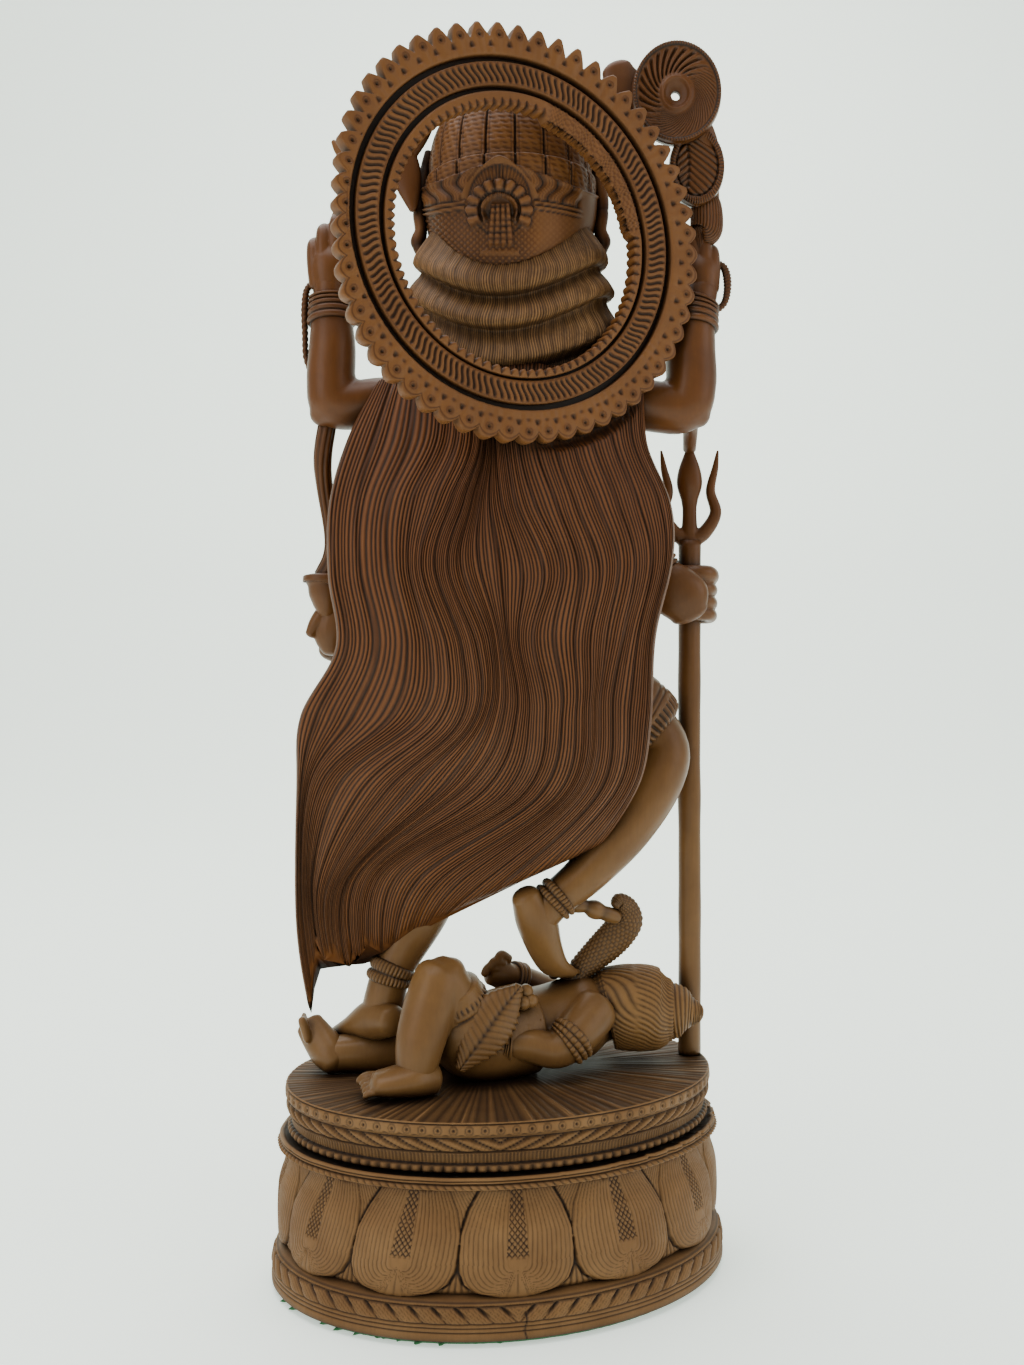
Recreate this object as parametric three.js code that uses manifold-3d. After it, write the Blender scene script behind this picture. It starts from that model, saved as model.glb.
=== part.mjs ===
import Module from "manifold-3d";
import * as THREE from "three";
import { mergeVertices } from "three/addons/utils/BufferGeometryUtils.js";

// A carved wooden goddess standing on a recumbent figure, with a halo and a trident, on a lotus pedestal.
// Millimetres, +Z up, origin at the centre of the underside. The pedestal's long side runs along X.
// The figure's front looks towards +Y, and its long hair falls down its back towards -Y.

// Driving dimensions
const TOUCH_GAP = 0.3;
const FELT_THICKNESS = 1.5;
const FELT_INSET = 1.2;

const PEDESTAL_LENGTH = 178;
const PEDESTAL_WIDTH = 138;
const FOOT_FILLET_HEIGHT = 2.4;
const FOOT_FILLET_INSET = 1;
const LEAF_BAND_HEIGHT = 9.2;
const LEAF_BAND_SLOPE = 1.2;
const BEAD_FILLET_HEIGHT = 3.4;
const PETAL_BELLY_HEIGHT = 35;
const RIM_HEIGHT = 4.6;
const BEAD_FILLET_INSET = 3.4;
const BEAD_FILLET_SLOPE = 0.8;
const BELLY_INSET = 8.4;
const BELLY_SWELL = 4.4;
const BELLY_LIP = 0.4;
const RIM_INSET = 2.2;
const PETAL_COUNT = 12;
const PETAL_RELIEF = 4.5;
const CARVING_AXIS = -100;

const PLATFORM_INSET = 5.2;
const BLOCK_ROW_HEIGHT = 3.2;
const BLOCK_ROW_INSET = 7.2;
const RIBBED_BAND_HEIGHT = 4;
const RIBBED_BAND_INSET = 8.4;
const RIBBED_BAND_SLOPE = 1;
const ROPE_BAND_HEIGHT = 5.4;
const ROPE_BAND_SLOPE = 1.6;
const ROPE_BAND_LIP = 0.4;
const SCALLOP_BAND_HEIGHT = 5.5;
const SCALLOP_BAND_CHAMFER = 0.6;
const SCALLOP_DEPTH = 0.7;

const FIGURE_HEIGHT = 380;
const FIGURE_TURN = -18;

const HALO_RADIUS = 74.4;
const HALO_THICKNESS = 6;
const HALO_TURN = 22;
const TOOTH_COUNT = 54;
const TOOTH_DEPTH = 5.4;
const OUTER_SLOT_RADIUS = 61.6;
const INNER_SLOT_RADIUS = 51.1;
const SLOT_WIDTH = 2.1;
const SLOT_BRIDGES = 4;
const SLOT_BRIDGE_WIDTH = 4;
const HALO_HOLE_RADIUS = 44;

const TRIDENT_LENGTH = 248;
const SHAFT_RADIUS = 4.7;
const PRONG_LENGTH = 41;
const PRONG_SPREAD = 11.5;

const BELLY_ROWS = 5;
const OVAL_SIDES = 40;
const HALO_SIDES = 32;
const SLOT_SIDES = 4;
const LIMB_SIDES = 7;
const SMALL_SIDES = 5;
const THIN_SIDES = 4;
const BOWL_SIDES = 8;
const TRIDENT_SIDES = 8;
const DISC_SIDES = 14;
const MEDALLION_SIDES = 10;
const CUFF_LIFT = 0.35;

// Places of the points across one petal, as shares of its width from crease to crease
const PETAL_STATIONS = [0, 0.14, 0.5, 0.86];
// How far up the belly a petal's round tip reaches, where its top starts to sink, and by how much
const PETAL_TIP_REACH = 0.55;
const PETAL_SHOULDER = 0.7;
const PETAL_SINK = 0.75;

// Rows of the middle prong, as radius in shaft radii and height in prong lengths over the socket
const MIDDLE_PRONG = [[1, 0], [0.8, 0.07], [0.7, 0.4], [1, 0.6], [0.6, 0.85]];
// Rows of a side prong, as reach in prong spreads, height in prong lengths and half width in shaft radii
const SIDE_PRONG = [
  [0, 0.07, 0.72],
  [0.55, 0.12, 0.64],
  [0.95, 0.34, 0.55],
  [0.72, 0.55, 0.45],
  [1, 0.86, 0.11],
];
// A disc's section, as reach from its hole to its rim and side in thicknesses
const DISC_SECTION = [[0, -0.6], [0.3, -0.5], [0.84, -0.36], [1, -0.3], [1, 0.3], [0, 0.6]];

const WOOD_COLOUR = 0x7a583b;
const PEDESTAL_COLOUR = 0x7d6142;
const HAIR_COLOUR = 0x5f3d25;
const FELT_COLOUR = 0x2f6b3a;

// Heights and outlines that follow from the driving dimensions
const HALF_LENGTH = PEDESTAL_LENGTH / 2;
const HALF_WIDTH = PEDESTAL_WIDTH / 2;
const PEDESTAL_FOOT = FELT_THICKNESS + TOUCH_GAP;
const LEAF_BAND_FOOT = PEDESTAL_FOOT + FOOT_FILLET_HEIGHT;
const LEAF_BAND_TOP = LEAF_BAND_FOOT + LEAF_BAND_HEIGHT;
const BELLY_FOOT = LEAF_BAND_TOP + BEAD_FILLET_HEIGHT;
const BELLY_TOP = BELLY_FOOT + PETAL_BELLY_HEIGHT;
const PEDESTAL_TOP = BELLY_TOP + RIM_HEIGHT;
const PLATFORM_FOOT = PEDESTAL_TOP + TOUCH_GAP;
const RIBBED_BAND_FOOT = PLATFORM_FOOT + BLOCK_ROW_HEIGHT;
const ROPE_BAND_FOOT = RIBBED_BAND_FOOT + RIBBED_BAND_HEIGHT;
const SCALLOP_BAND_FOOT = ROPE_BAND_FOOT + ROPE_BAND_HEIGHT;
const PLATFORM_TOP = SCALLOP_BAND_FOOT + SCALLOP_BAND_HEIGHT;

// One share is a hundredth of the standing figure's height, and every pose row below is in shares.
const SHARE = FIGURE_HEIGHT / 100;
const FORWARD = new THREE.Vector3(0, 1, 0);
const UP = new THREE.Vector3(0, 0, 1);
const HALO_CENTRE = [0.5, -12.3, 81.6].map((share) => share * SHARE);

// Pose of the standing figure: rows of across, forward, up, half width and half depth.
const TORSO = [
  [1, -0.8, 34.2, 3.5, 2.9], [1, -0.8, 37.8, 5.9, 5], [0.7, -1.1, 43.9, 5.5, 4.7],
  [0.5, -1.1, 50.6, 3.9, 3.3], [0.5, -1.3, 56.1, 4.5, 3.8], [0.5, -1.6, 62.2, 6.3, 4.7],
  [0.5, -1.8, 66.7, 6.7, 3.9], [0.6, -1.7, 69.7, 4.7, 2.8], [0.8, -1.2, 72.7, 2.3, 2.2],
  [0.9, -0.6, 76, 2.1, 2.1],
];
const BREASTS = [
  [[-2.2, 1, 62.6, 2.9, 2.9], [-2.4, 2.6, 62.3, 2.5, 2.5], [-2.5, 3.9, 62, 1.2, 1.2]],
  [[3.2, 1, 62.6, 2.9, 2.9], [3.4, 2.6, 62.3, 2.5, 2.5], [3.5, 3.9, 62, 1.2, 1.2]],
];
const STANDING_LEG = [
  [-2.7, 0, 38.8, 4.1, 4.5], [-3.6, 2.1, 31.5, 3.9, 4.2], [-5.3, 3.2, 23.2, 2.7, 3.3],
  [-8, 0.5, 16.6, 2.8, 3.2], [-11, -1.1, 10.7, 2.1, 2.2], [-12, -1.3, 7.2, 2.1, 2.2],
  [-12.5, -1.1, 4.9, 2.1, 2],
];
const STANDING_FOOT = [
  [-11, -3.7, 5.8, 1.6, 1.6], [-12.9, -1.6, 5.4, 2, 2.1], [-14.9, 0.5, 4.2, 2.2, 1.3],
  [-16.9, 2.5, 3, 2, 0.8],
];
const BENT_LEG = [
  [6, 0.5, 38.8, 4.3, 4.7], [12.3, 2.1, 36.5, 4, 4.2], [16.5, 1.6, 33.1, 2.9, 3.4],
  [15.6, 0.4, 29.4, 3, 3.3], [12.4, -0.8, 24.6, 2.8, 3], [8.7, -1.8, 20.4, 2.2, 2.5],
  [5.5, -2.6, 17.8, 1.9, 2.1], [3.7, -2.8, 16, 2, 2.1],
];
const BENT_FOOT = [
  [2.4, -3.9, 18.2, 1.5, 1.5], [3.4, -3, 16, 2.1, 2.1], [4.3, -1.8, 12.9, 1.9, 1.7],
  [5.2, -0.8, 10.6, 1.9, 1.2], [6.6, 0.9, 9.6, 1.9, 0.7],
];
const RAISED_ARMS = [
  [[-5.6, -1.4, 67.8, 2.4, 2.4], [-8.6, -1.3, 68.2, 2.6, 2.6], [-12.3, -2.1, 68, 2.5, 2.7],
    [-16.2, -2.9, 67.6, 2.5, 2.6], [-17.6, -2.9, 70, 2.6, 2.6], [-17.3, -2.6, 73.6, 2.4, 2.5],
    [-17.3, -2.1, 77.8, 1.9, 2], [-17.4, -2.1, 79.9, 1.8, 1.9], [-17.7, -2.1, 82.6, 2.2, 2.2],
    [-17.5, -2.1, 85.4, 2.1, 2.1], [-17.1, -2.1, 87.4, 1, 1.2]],
  [[6.8, -1.4, 67.8, 2.4, 2.4], [9.8, -1.3, 68.2, 2.6, 2.6], [14, -2.1, 67.8, 2.6, 2.7],
    [18.4, -2.6, 67.3, 2.6, 2.6], [19.6, -2.6, 69.6, 2.8, 2.8], [19.4, -2.4, 73.2, 2.7, 2.7],
    [19.8, -1.8, 77.4, 2.1, 2.2], [20.2, -1.6, 79.5, 2, 2.1], [20.5, -1.2, 82.2, 2.3, 2.2],
    [20.9, -1.2, 84.6, 2, 2], [21.2, -1.2, 86.8, 1, 1.2]],
];
const LOWER_LEFT_ARM = [
  [-5.6, 0.6, 67.2, 2.4, 2.2], [-8.1, 1.1, 65.8, 2.5, 2.3], [-11.5, 2.1, 61, 2.3, 2.3],
  [-14.3, 2.6, 55, 2, 2.1], [-15.9, 2.1, 50, 1.6, 1.8], [-17.4, 0.6, 47.2, 2.3, 1.9],
  [-18.3, 0, 44.6, 1.3, 1.3],
];
const LOWER_RIGHT_ARM = [
  [6.8, 0.6, 67.2, 2.4, 2.2], [9.3, 1.1, 65.8, 2.5, 2.3], [12.5, 2.1, 61, 2.3, 2.3],
  [15, 2.8, 55.4, 2, 2.1], [16.6, 3.6, 51.6, 1.7, 1.8], [18.2, 4.4, 49.4, 2.4, 2],
];
// Cuffs on the limbs: the rows of the limb that each runs from and to, and its number of ridges.
const STANDING_ANKLET = [4, 4.8, 2];
const BENT_ANKLET = [5.6, 6.4, 2];
const RAISED_BANGLES = [5.8, 6.9, 2];
const NECKLACE_RADIUS = 0.7;
const NECKLINE = [
  [-4.4, 0.4, 69.2], [-3.4, 3, 66], [0.5, 4.2, 63.4], [4.4, 3, 66], [5.6, 0.4, 69.2],
];
const GARLAND = [
  [-6, 1.2, 66.6], [-5.4, 4.2, 58], [-3.8, 5.2, 46], [0.6, 6.8, 38.4], [5, 5.2, 46], [6.4, 4.2, 58],
  [7, 1.2, 66.6],
];
const GARLAND_HEADS = 9;
const GARLAND_WAIST = 0.55;
const GARLAND_RADIUS = 1;

// Head, crown and the rolls of hair that frame it: rows of up, half width, half depth and forward shift.
// A fifth value says how far the row dips at the back.
const HEAD_ACROSS = 0.9;
const FACE = [
  [73.3, 1.4, 1.3, 4.4], [74.2, 2.8, 2.7, 3.2], [76.8, 4.5, 4.6, 2], [80.4, 5.3, 5.3, 1.6],
  [84, 5.6, 5.5, 1.4], [88, 5.2, 5, 1.2],
];
const HEAD_PROFILE = [
  [72.4, 9.8, 5.2, -3.2, 3.4], [75.2, 11, 6, -3.4, 4.2], [77.1, 9.8, 5.6, -3.2, 4.2],
  [78.9, 10.5, 6, -3.1, 4.2], [80.5, 9.4, 5.5, -2.8, 4.2], [82, 9.9, 6, -2.6, 4.2],
  [83.6, 9.3, 5.7, -2.2, 4.2], [84.2, 9.5, 8.4, 0.2, 4.2], [86.6, 9.7, 8.6, 0.2, 3],
  [88.4, 10, 8.9, 0.2, 0.8], [90, 9.9, 8.8, 0.2, -0.4], [90.7, 9, 8, 0.2, -0.4],
  [94, 8.6, 7.6, 0.2, 0], [97.4, 6.9, 6.2, 0.2, 0], [100, 1.6, 1.6, 0.2, 0],
];
const CROWN_PLATES_FROM = 0.82;
const CROWN_PLATES = 8;
const CROWN_PLATE_RELIEF = 0.05;
const MEDALLION = [-0.6, -8.5, 85.4];
const MEDALLION_RADIUS = 3;
const MEDALLION_BOSS = 0.4;
const MEDALLION_THICKNESS = 1.6;
const EAR_ORNAMENT_RADIUS = 1.5;
const NOSE = [[0.9, 6.6, 82.6, 0.5, 0.4], [0.9, 7.3, 79.8, 0.7, 0.7], [0.9, 6.9, 78.6, 0.8, 0.6]];
const EAR_ORNAMENTS = [[-6, 1.8, 78.4], [7.8, 1.8, 78.4]];

// The hair falls down the back in wavy locks.
// Each guide runs from the shoulders to the tips, as across and up.
const HAIR_GUIDES = [
  [[-12.3, 69.6], [-15, 63.5], [-16.6, 56.9], [-16.6, 50.1], [-15.8, 43], [-19.3, 36.3], [-20.5, 29.4],
    [-20.8, 18.5], [-20.1, 4.4]],
  [[-6.8, 70.2], [-6.9, 63.1], [-9.4, 57], [-9.9, 50.6], [-8.4, 43], [-10, 36.7], [-17, 30.2], [-19.6, 22.1],
    [-19.8, 5.4]],
  [[-2.8, 70.4], [-2.4, 62.6], [-4.3, 57], [-6.2, 50.6], [-3.7, 42.6], [-4.2, 35.9], [-11.4, 29.2],
    [-17.8, 19.2], [-19.8, 7.4]],
  [[-1.7, 70.5], [-1.2, 62.3], [-2.1, 56.3], [-2.5, 50.6], [-0.5, 43.6], [-0.4, 36.7], [-4.1, 30],
    [-14.5, 20.5], [-18.2, 9.3]],
  [[-0.1, 70.5], [0.1, 62.8], [0.9, 56.7], [3, 50.3], [2, 44], [3.1, 36.7], [0.7, 28.9], [-11.2, 20.8],
    [-15.1, 9.6]],
  [[4.3, 70.2], [4.1, 62.6], [5.9, 56.4], [7.8, 50.4], [6.9, 44], [7.2, 37.4], [5.4, 28.9], [-5.9, 20.2],
    [-11.1, 11.4]],
  [[9, 70], [9.2, 63.1], [11.1, 56.9], [12.6, 51.1], [11.3, 44.5], [10.3, 38.9], [9.2, 29.3], [-0.2, 19.6],
    [-4, 16.9]],
  [[14, 69.8], [14.1, 63.3], [16.3, 57.1], [16.4, 51.5], [14.7, 44], [14.3, 35.9], [13.4, 29.8],
    [10.2, 23.9], [8.8, 22.6]],
];
// Depth of the hair from the shoulders to the tips: how far back it stands, and how thick it is.
const HAIR_DEPTH = [
  [-9.4, 6], [-10.8, 7.5], [-11.8, 8.2], [-12.1, 8.4], [-12, 8], [-11.2, 7], [-9.2, 5.4], [-6, 3.4],
  [-2.6, 1.2],
];
const HAIR_EDGE_CURL = 4.6;
const HAIR_ROWS = 10;
const LOCK_COUNT = 8;
const LOCK_COLUMNS = 2;
const LOCKS_PER_FRONT_COLUMN = 4;
const LOCK_RELIEF = 0.8;
const LOCK_TIP_NOTCH = 0.035;

// Skirt over the hips, and its hanging end over the raised thigh.
const SKIRT = [
  [31.4, 6.7, 5.3, 0.2], [34, 7.3, 6, 0.1], [38.4, 7.1, 6, -0.4], [42.2, 6.6, 5.6, -0.8],
  [43.6, 6.3, 5.4, -0.9],
];
const SKIRT_ACROSS = 0.8;
const SKIRT_FOLDS = 9;
const SKIRT_FOLD_RELIEF = 0.05;
const THIGH_CLOTH = [
  [6.6, 0.8, 38.6, 4.8, 5.2], [11.6, 1.9, 37.1, 4.9, 5.1], [14.6, 2, 35.6, 4.4, 4.8],
  [15.8, 1.9, 34.9, 3.9, 4.2],
];

// What the raised hands hold: a sword on one side, and on the other a disc over a crescent and its stem.
const SWORD_GRIP = [
  [-18.6, -1.6, 79.5, 0.7, 0.7], [-17.4, -1.4, 84, 0.8, 0.8], [-15.9, -1.2, 89, 0.8, 0.8],
];
const SWORD_GUARD = [
  [-18.3, -1.2, 91.6, 0.6, 0.6], [-16.2, -1.2, 89.4, 1, 0.8], [-13.6, -1.2, 88.2, 0.6, 0.6],
];
const SWORD_BLADE = [
  [-15.8, -1.2, 89.2, 1, 0.5], [-13.6, -1.2, 91.2, 1.6, 0.6], [-11, -1.4, 93.6, 2, 0.6],
  [-8.6, -1.8, 97, 1.9, 0.6], [-8, -2.2, 100, 0.6, 0.4],
];
const DISC_CENTRE = [17.5, -3.7, 98.5];
const DISC_RADIUS = 4.9;
const DISC_HOLE_RADIUS = 0.5;
const DISC_THICKNESS = 1.5;
const DISC_STEM = [
  [21.2, -1.6, 86.2, 1.5, 1.4], [21.4, -2, 89, 1.6, 1.4], [20.9, -2.8, 93, 1.4, 1.2],
  [19.6, -3.4, 96, 1.2, 1],
];
const CRESCENT = [
  [21.6, -2.8, 96.8, 0.5, 0.5], [22.7, -2.8, 94.6, 0.9, 0.7], [23, -2.8, 91.8, 1.3, 0.8],
  [22.2, -2.8, 89, 1.2, 0.8], [20.4, -2.8, 87.4, 0.7, 0.6], [18.6, -2.8, 87.8, 0.4, 0.4],
];
const CORDS = [
  [[-19.1, -2, 81.4, 0.4, 0.4], [-20, -2, 77.5, 0.6, 0.5], [-20, -2, 72, 0.4, 0.4],
    [-19, -2, 69.4, 0.4, 0.4]],
  [[22.4, -1.4, 80.5, 0.4, 0.4], [23.2, -1.4, 77.6, 0.5, 0.5], [22.4, -1.4, 74, 0.4, 0.4]],
];
const BOWL = [[-17.9, -0.4, 47, 1.2, 1.2], [-18.1, -0.4, 49.4, 1.9, 1.9], [-18.2, -0.4, 50.4, 2, 2]];
const STREAMER = [
  [-17.6, -2.1, 66.2, 1.1, 1], [-18.2, -1.6, 62.6, 1, 0.9], [-18, -1, 59.6, 0.9, 0.8],
  [-17.4, -0.6, 55, 0.9, 0.8], [-17.8, -0.4, 50, 1.1, 1],
];
const ELBOW_STRUT = [[19.2, -1.4, 67.6, 0.9, 0.9], [19.8, 3, 66.4, 0.8, 0.8], [20, 5.3, 64.6, 0.7, 0.7]];
const TRIDENT_PLACE = [20, 5.3];
const FIST_PLACE = [19.5, 5.1, 49.1];
const FIST_ROWS = 4;
const FIST_HALF_WIDTH = 2.5;
const FIST_HALF_HEIGHT = 3.3;
const FINGER_COUNT = 4;
const FINGER_RADIUS = 0.75;
const FINGER_JOINTS = 3;
const FINGER_START = -153;
const FINGER_BEND = 67;

// Pose of the recumbent figure that the standing one treads on.
const LYING_TORSO = [
  [-3.2, -2.6, 3, 4, 4.2], [0.3, -1.1, 4.1, 4, 4.4], [4.4, 0.5, 4.7, 3.6, 4.3], [8.6, 1.6, 5, 4.2, 4.6],
  [10.9, 2.1, 4.9, 2.6, 3],
];
const LYING_NEAR_LEG = [
  [-2.7, -3.7, 3.3, 3.9, 3.8], [-5.1, -5.8, 7.8, 3.3, 3.3], [-7, -6.8, 11.4, 2.7, 2.8],
  [-8.1, -7.9, 8.4, 2.7, 2.8], [-8.7, -9.2, 4.8, 2.3, 2.3], [-8.9, -9.7, 1.4, 1.9, 2],
];
const LYING_NEAR_FOOT = [
  [-7.4, -8.9, 1, 1.5, 1.5], [-8.9, -10, 1.3, 1.9, 1.6], [-10.8, -10.5, 1.1, 1.8, 1.1],
  [-12.9, -10.8, 0.9, 1.7, 0.7],
];
const LYING_FAR_LEG = [
  [-3.4, 2.1, 2.2, 3.6, 3.6], [-8.5, 1.1, 1.9, 2.6, 2.9], [-13, -0.5, 1.9, 2.3, 2.6],
  [-16, -1.3, 1.9, 1.9, 2.2], [-17.5, -1.6, 1.6, 1.8, 2],
];
const LYING_FAR_FOOT = [
  [-16.8, -2.1, 1.3, 1.6, 1.7], [-17.7, -1.6, 2.2, 1.9, 1.8], [-18.8, -1.1, 3.6, 1.7, 1.2],
  [-19.8, -0.5, 5, 1.4, 0.7],
];
const LYING_NEAR_ARM = [
  [9.4, -1.6, 6.2, 2.4, 2.4], [7.4, -4, 4.4, 2.2, 2.2], [5.4, -4.7, 3.1, 1.8, 2], [2.8, -5, 3.7, 1.7, 1.8],
  [0.6, -5.3, 3.8, 1.4, 1.5], [-1.3, -5.8, 4.3, 1.8, 1.6], [-3.1, -5.8, 4.5, 1, 1],
];
const LYING_FAR_ARM = [
  [10, 5, 5.6, 2.4, 2.4], [7.6, 7.2, 4.6, 2.2, 2.1], [4.6, 7, 6.2, 1.8, 1.8], [1.8, 5.2, 8, 1.5, 1.5],
  [0.2, 4, 8.6, 1.5, 1.4], [-1, 3, 8.6, 0.8, 0.8],
];
const LYING_HEAD = [
  [10.4, 2.1, 5, 2.4, 2.4], [11.5, 2.1, 5.2, 3.7, 3.8], [13.2, 2.1, 5.3, 4.3, 4.3],
  [14.6, 2.1, 5.4, 4.4, 4.3], [16.6, 2.1, 5.5, 4, 4], [17.6, 2, 5.5, 2.8, 2.8],
  [18.4, 1.8, 5.4, 2.4, 2.5], [19.6, 1.6, 5.3, 1.9, 2], [20.2, 1.5, 5.2, 0.9, 0.9],
];
const LYING_FACE = [[13.6, 4.6, 7.4, 2.4, 2.4], [13.2, 5.6, 8.2, 2, 2.2], [13, 6.4, 8.8, 1, 1.2]];
const COBRA = [
  [8.6, 4, 5.6, 1, 1], [9.4, 4.4, 7.4, 1.2, 1.2], [11.4, 3.2, 9.8, 1.2, 1.2], [13, 1.6, 12.3, 1.4, 1.2],
  [13.9, 1.1, 14.4, 1.5, 1.2], [13.6, 0.5, 16.2, 1.2, 1], [12.2, 0, 17.2, 0.6, 0.7],
];
const COBRA_STRUT = [[6.4, -1.4, 17.4, 0.8, 0.8], [9.4, -0.6, 16.9, 0.7, 0.7], [12.4, 0, 16.6, 0.7, 0.7]];
const LYING_SKIRT = [
  [-5.9, -5.9, 8.8, 3.9, 3.9], [-4.2, -4.8, 6.2, 4.4, 4.4], [-1.6, -2.8, 4, 4.8, 4.8],
  [1.4, -0.8, 4.2, 4.5, 4.7],
];

const wasm = await Module();
wasm.setup();

// A smooth reading between rows of numbers, at a place that counts in rows.
function smooth(rows, place) {
  const last = rows.length - 1;
  const clamped = Math.min(Math.max(place, 0), last);
  const index = Math.min(Math.floor(clamped), last - 1);
  const t = clamped - index;
  const before = rows[Math.max(index - 1, 0)];
  const start = rows[index];
  const end = rows[index + 1];
  const after = rows[Math.min(index + 2, last)];
  return start.map((value, k) => {
    const slope = (end[k] - before[k]) / 2;
    const nextSlope = (after[k] - value) / 2;
    const rise = end[k] - value;
    return value + t * (slope + t * (3 * rise - 2 * slope - nextSlope + t * (slope + nextSlope - 2 * rise)));
  });
}

// A closed geometry from points and triangles, turned so that its faces point out.
function closedGeometry(points, triangles) {
  let volume = 0;
  for (const [a, b, c] of triangles) {
    const corner = new THREE.Vector3(...points[a]);
    volume += corner.dot(new THREE.Vector3(...points[b]).cross(new THREE.Vector3(...points[c])));
  }
  const outward = volume > 0 ? triangles : triangles.map(([a, b, c]) => [a, c, b]);
  const geometry = new THREE.BufferGeometry();
  geometry.setAttribute("position", new THREE.Float32BufferAttribute(points.flat(), 3));
  geometry.setIndex(outward.flat());
  return geometry;
}

// The walls between rings of points, each ring closed on itself.
function ringWalls(rings) {
  const sides = rings[0].length;
  const triangles = [];
  for (let row = 0; row + 1 < rings.length; row += 1) {
    for (let k = 0; k < sides; k += 1) {
      const next = (k + 1) % sides;
      const a = row * sides + k;
      const b = row * sides + next;
      triangles.push([a, b, b + sides], [a, b + sides, a + sides]);
    }
  }
  return triangles;
}

// A skin over rings of points, closed at both ends by a fan.
function ringBody(rings) {
  const sides = rings[0].length;
  const points = rings.flat();
  const triangles = ringWalls(rings);
  for (const [row, ring] of [[0, rings[0]], [rings.length - 1, rings.at(-1)]]) {
    const centre = [0, 1, 2].map((axis) => ring.reduce((sum, point) => sum + point[axis], 0) / sides);
    const hub = points.push(centre) - 1;
    for (let k = 0; k < sides; k += 1) {
      const a = row * sides + k;
      const b = row * sides + ((k + 1) % sides);
      triangles.push(row === 0 ? [b, a, hub] : [a, b, hub]);
    }
  }
  return closedGeometry(points, triangles);
}

// Joining and cutting
function solidOf(geometry) {
  const bare = geometry.clone();
  bare.deleteAttribute("normal");
  bare.deleteAttribute("uv");
  const merged = mergeVertices(bare, 1e-4);
  return new wasm.Manifold(new wasm.Mesh({
    numProp: 3,
    vertProperties: Float32Array.from(merged.attributes.position.array),
    triVerts: Uint32Array.from(merged.index.array),
  }));
}

function joined(geometries) {
  return geometries.map(solidOf).reduce((whole, piece) => whole.add(piece));
}

function geometryOf(solid) {
  const mesh = solid.getMesh();
  const geometry = new THREE.BufferGeometry();
  geometry.setAttribute("position", new THREE.Float32BufferAttribute(mesh.vertProperties, 3));
  geometry.setIndex(Array.from(mesh.triVerts));
  return geometry;
}

// A limb through rows of across, forward, up, half width and half depth, in shares of the figure.
function limb(rows, options = {}) {
  const { sides = LIMB_SIDES, steps = 1, facing = FORWARD, grow = 0, swell = () => 1 } = options;
  const count = (rows.length - 1) * steps;
  const rings = [];
  for (let i = 0; i <= count; i += 1) {
    const place = i / steps;
    const [x, y, z, halfWidth, halfDepth] = smooth(rows, place);
    const behind = new THREE.Vector3(...smooth(rows, place - 0.1).slice(0, 3));
    const ahead = new THREE.Vector3(...smooth(rows, place + 0.1).slice(0, 3));
    const along = ahead.sub(behind).normalize();
    const side = new THREE.Vector3().crossVectors(along, facing).normalize();
    const front = new THREE.Vector3().crossVectors(side, along);
    const ring = [];
    for (let k = 0; k < sides; k += 1) {
      const angle = (k / sides) * Math.PI * 2;
      const reach = swell(i / count, angle);
      const wide = (halfWidth * SHARE * reach + grow) * Math.cos(angle);
      const deep = (halfDepth * SHARE * reach + grow) * Math.sin(angle);
      const centre = new THREE.Vector3(x, y, z).multiplyScalar(SHARE);
      ring.push(centre.addScaledVector(side, wide).addScaledVector(front, deep).toArray());
    }
    rings.push(ring);
  }
  return ringBody(rings);
}

// A form about an upright axis, through rows of up, half width, half depth, forward shift and dip.
function upright(rows, across, sides, swell = () => 1) {
  const rings = rows.map(([up, halfWidth, halfDepth, shift, dip = 0], row) => {
    const ring = [];
    for (let k = 0; k < sides; k += 1) {
      const angle = (k / sides) * Math.PI * 2;
      const reach = swell(row / (rows.length - 1), angle);
      ring.push([
        (across + halfWidth * reach * Math.cos(angle)) * SHARE,
        (shift + halfDepth * reach * Math.sin(angle)) * SHARE,
        (up - dip * Math.max(0, -Math.sin(angle)) ** 2) * SHARE,
      ]);
    }
    return ring;
  });
  return ringBody(rings);
}

// The same rows with a ridged cuff let in between two places, such as a stack of bangles or an anklet.
function cuffed(rows, from, to, ridges, lift = CUFF_LIFT) {
  const slices = ridges * 2;
  const cuff = [];
  for (let i = 0; i <= slices; i += 1) {
    const row = smooth(rows, from + ((to - from) * i) / slices);
    const raised = i % 2 === 1 ? lift : lift / 4;
    cuff.push([row[0], row[1], row[2], row[3] + raised, row[4] + raised]);
  }
  return [...rows.slice(0, Math.ceil(from)), ...cuff, ...rows.slice(Math.floor(to) + 1)];
}

function bead(centre, radius) {
  const geometry = new THREE.IcosahedronGeometry(radius * SHARE);
  geometry.translate(...centre.map((share) => share * SHARE));
  return geometry;
}

// Even angles round an oval
function evenAngles(sides) {
  return Array.from({ length: sides }, (_, k) => (k / sides) * Math.PI * 2);
}

// An oval body through rows of inset and height, with the inset read again at each angle.
function ovalBody(rows, angles, insetAt = (inset) => inset) {
  const rings = rows.map(([inset, z], row) => angles.map((angle) => {
    const drawn = insetAt(inset, angle, row);
    return [(HALF_LENGTH - drawn) * Math.cos(angle), (HALF_WIDTH - drawn) * Math.sin(angle), z];
  }));
  return ringBody(rings);
}

// Felt pad under the pedestal
function feltPad() {
  return ovalBody([[FELT_INSET, 0], [FELT_INSET, FELT_THICKNESS]], evenAngles(OVAL_SIDES));
}

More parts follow.
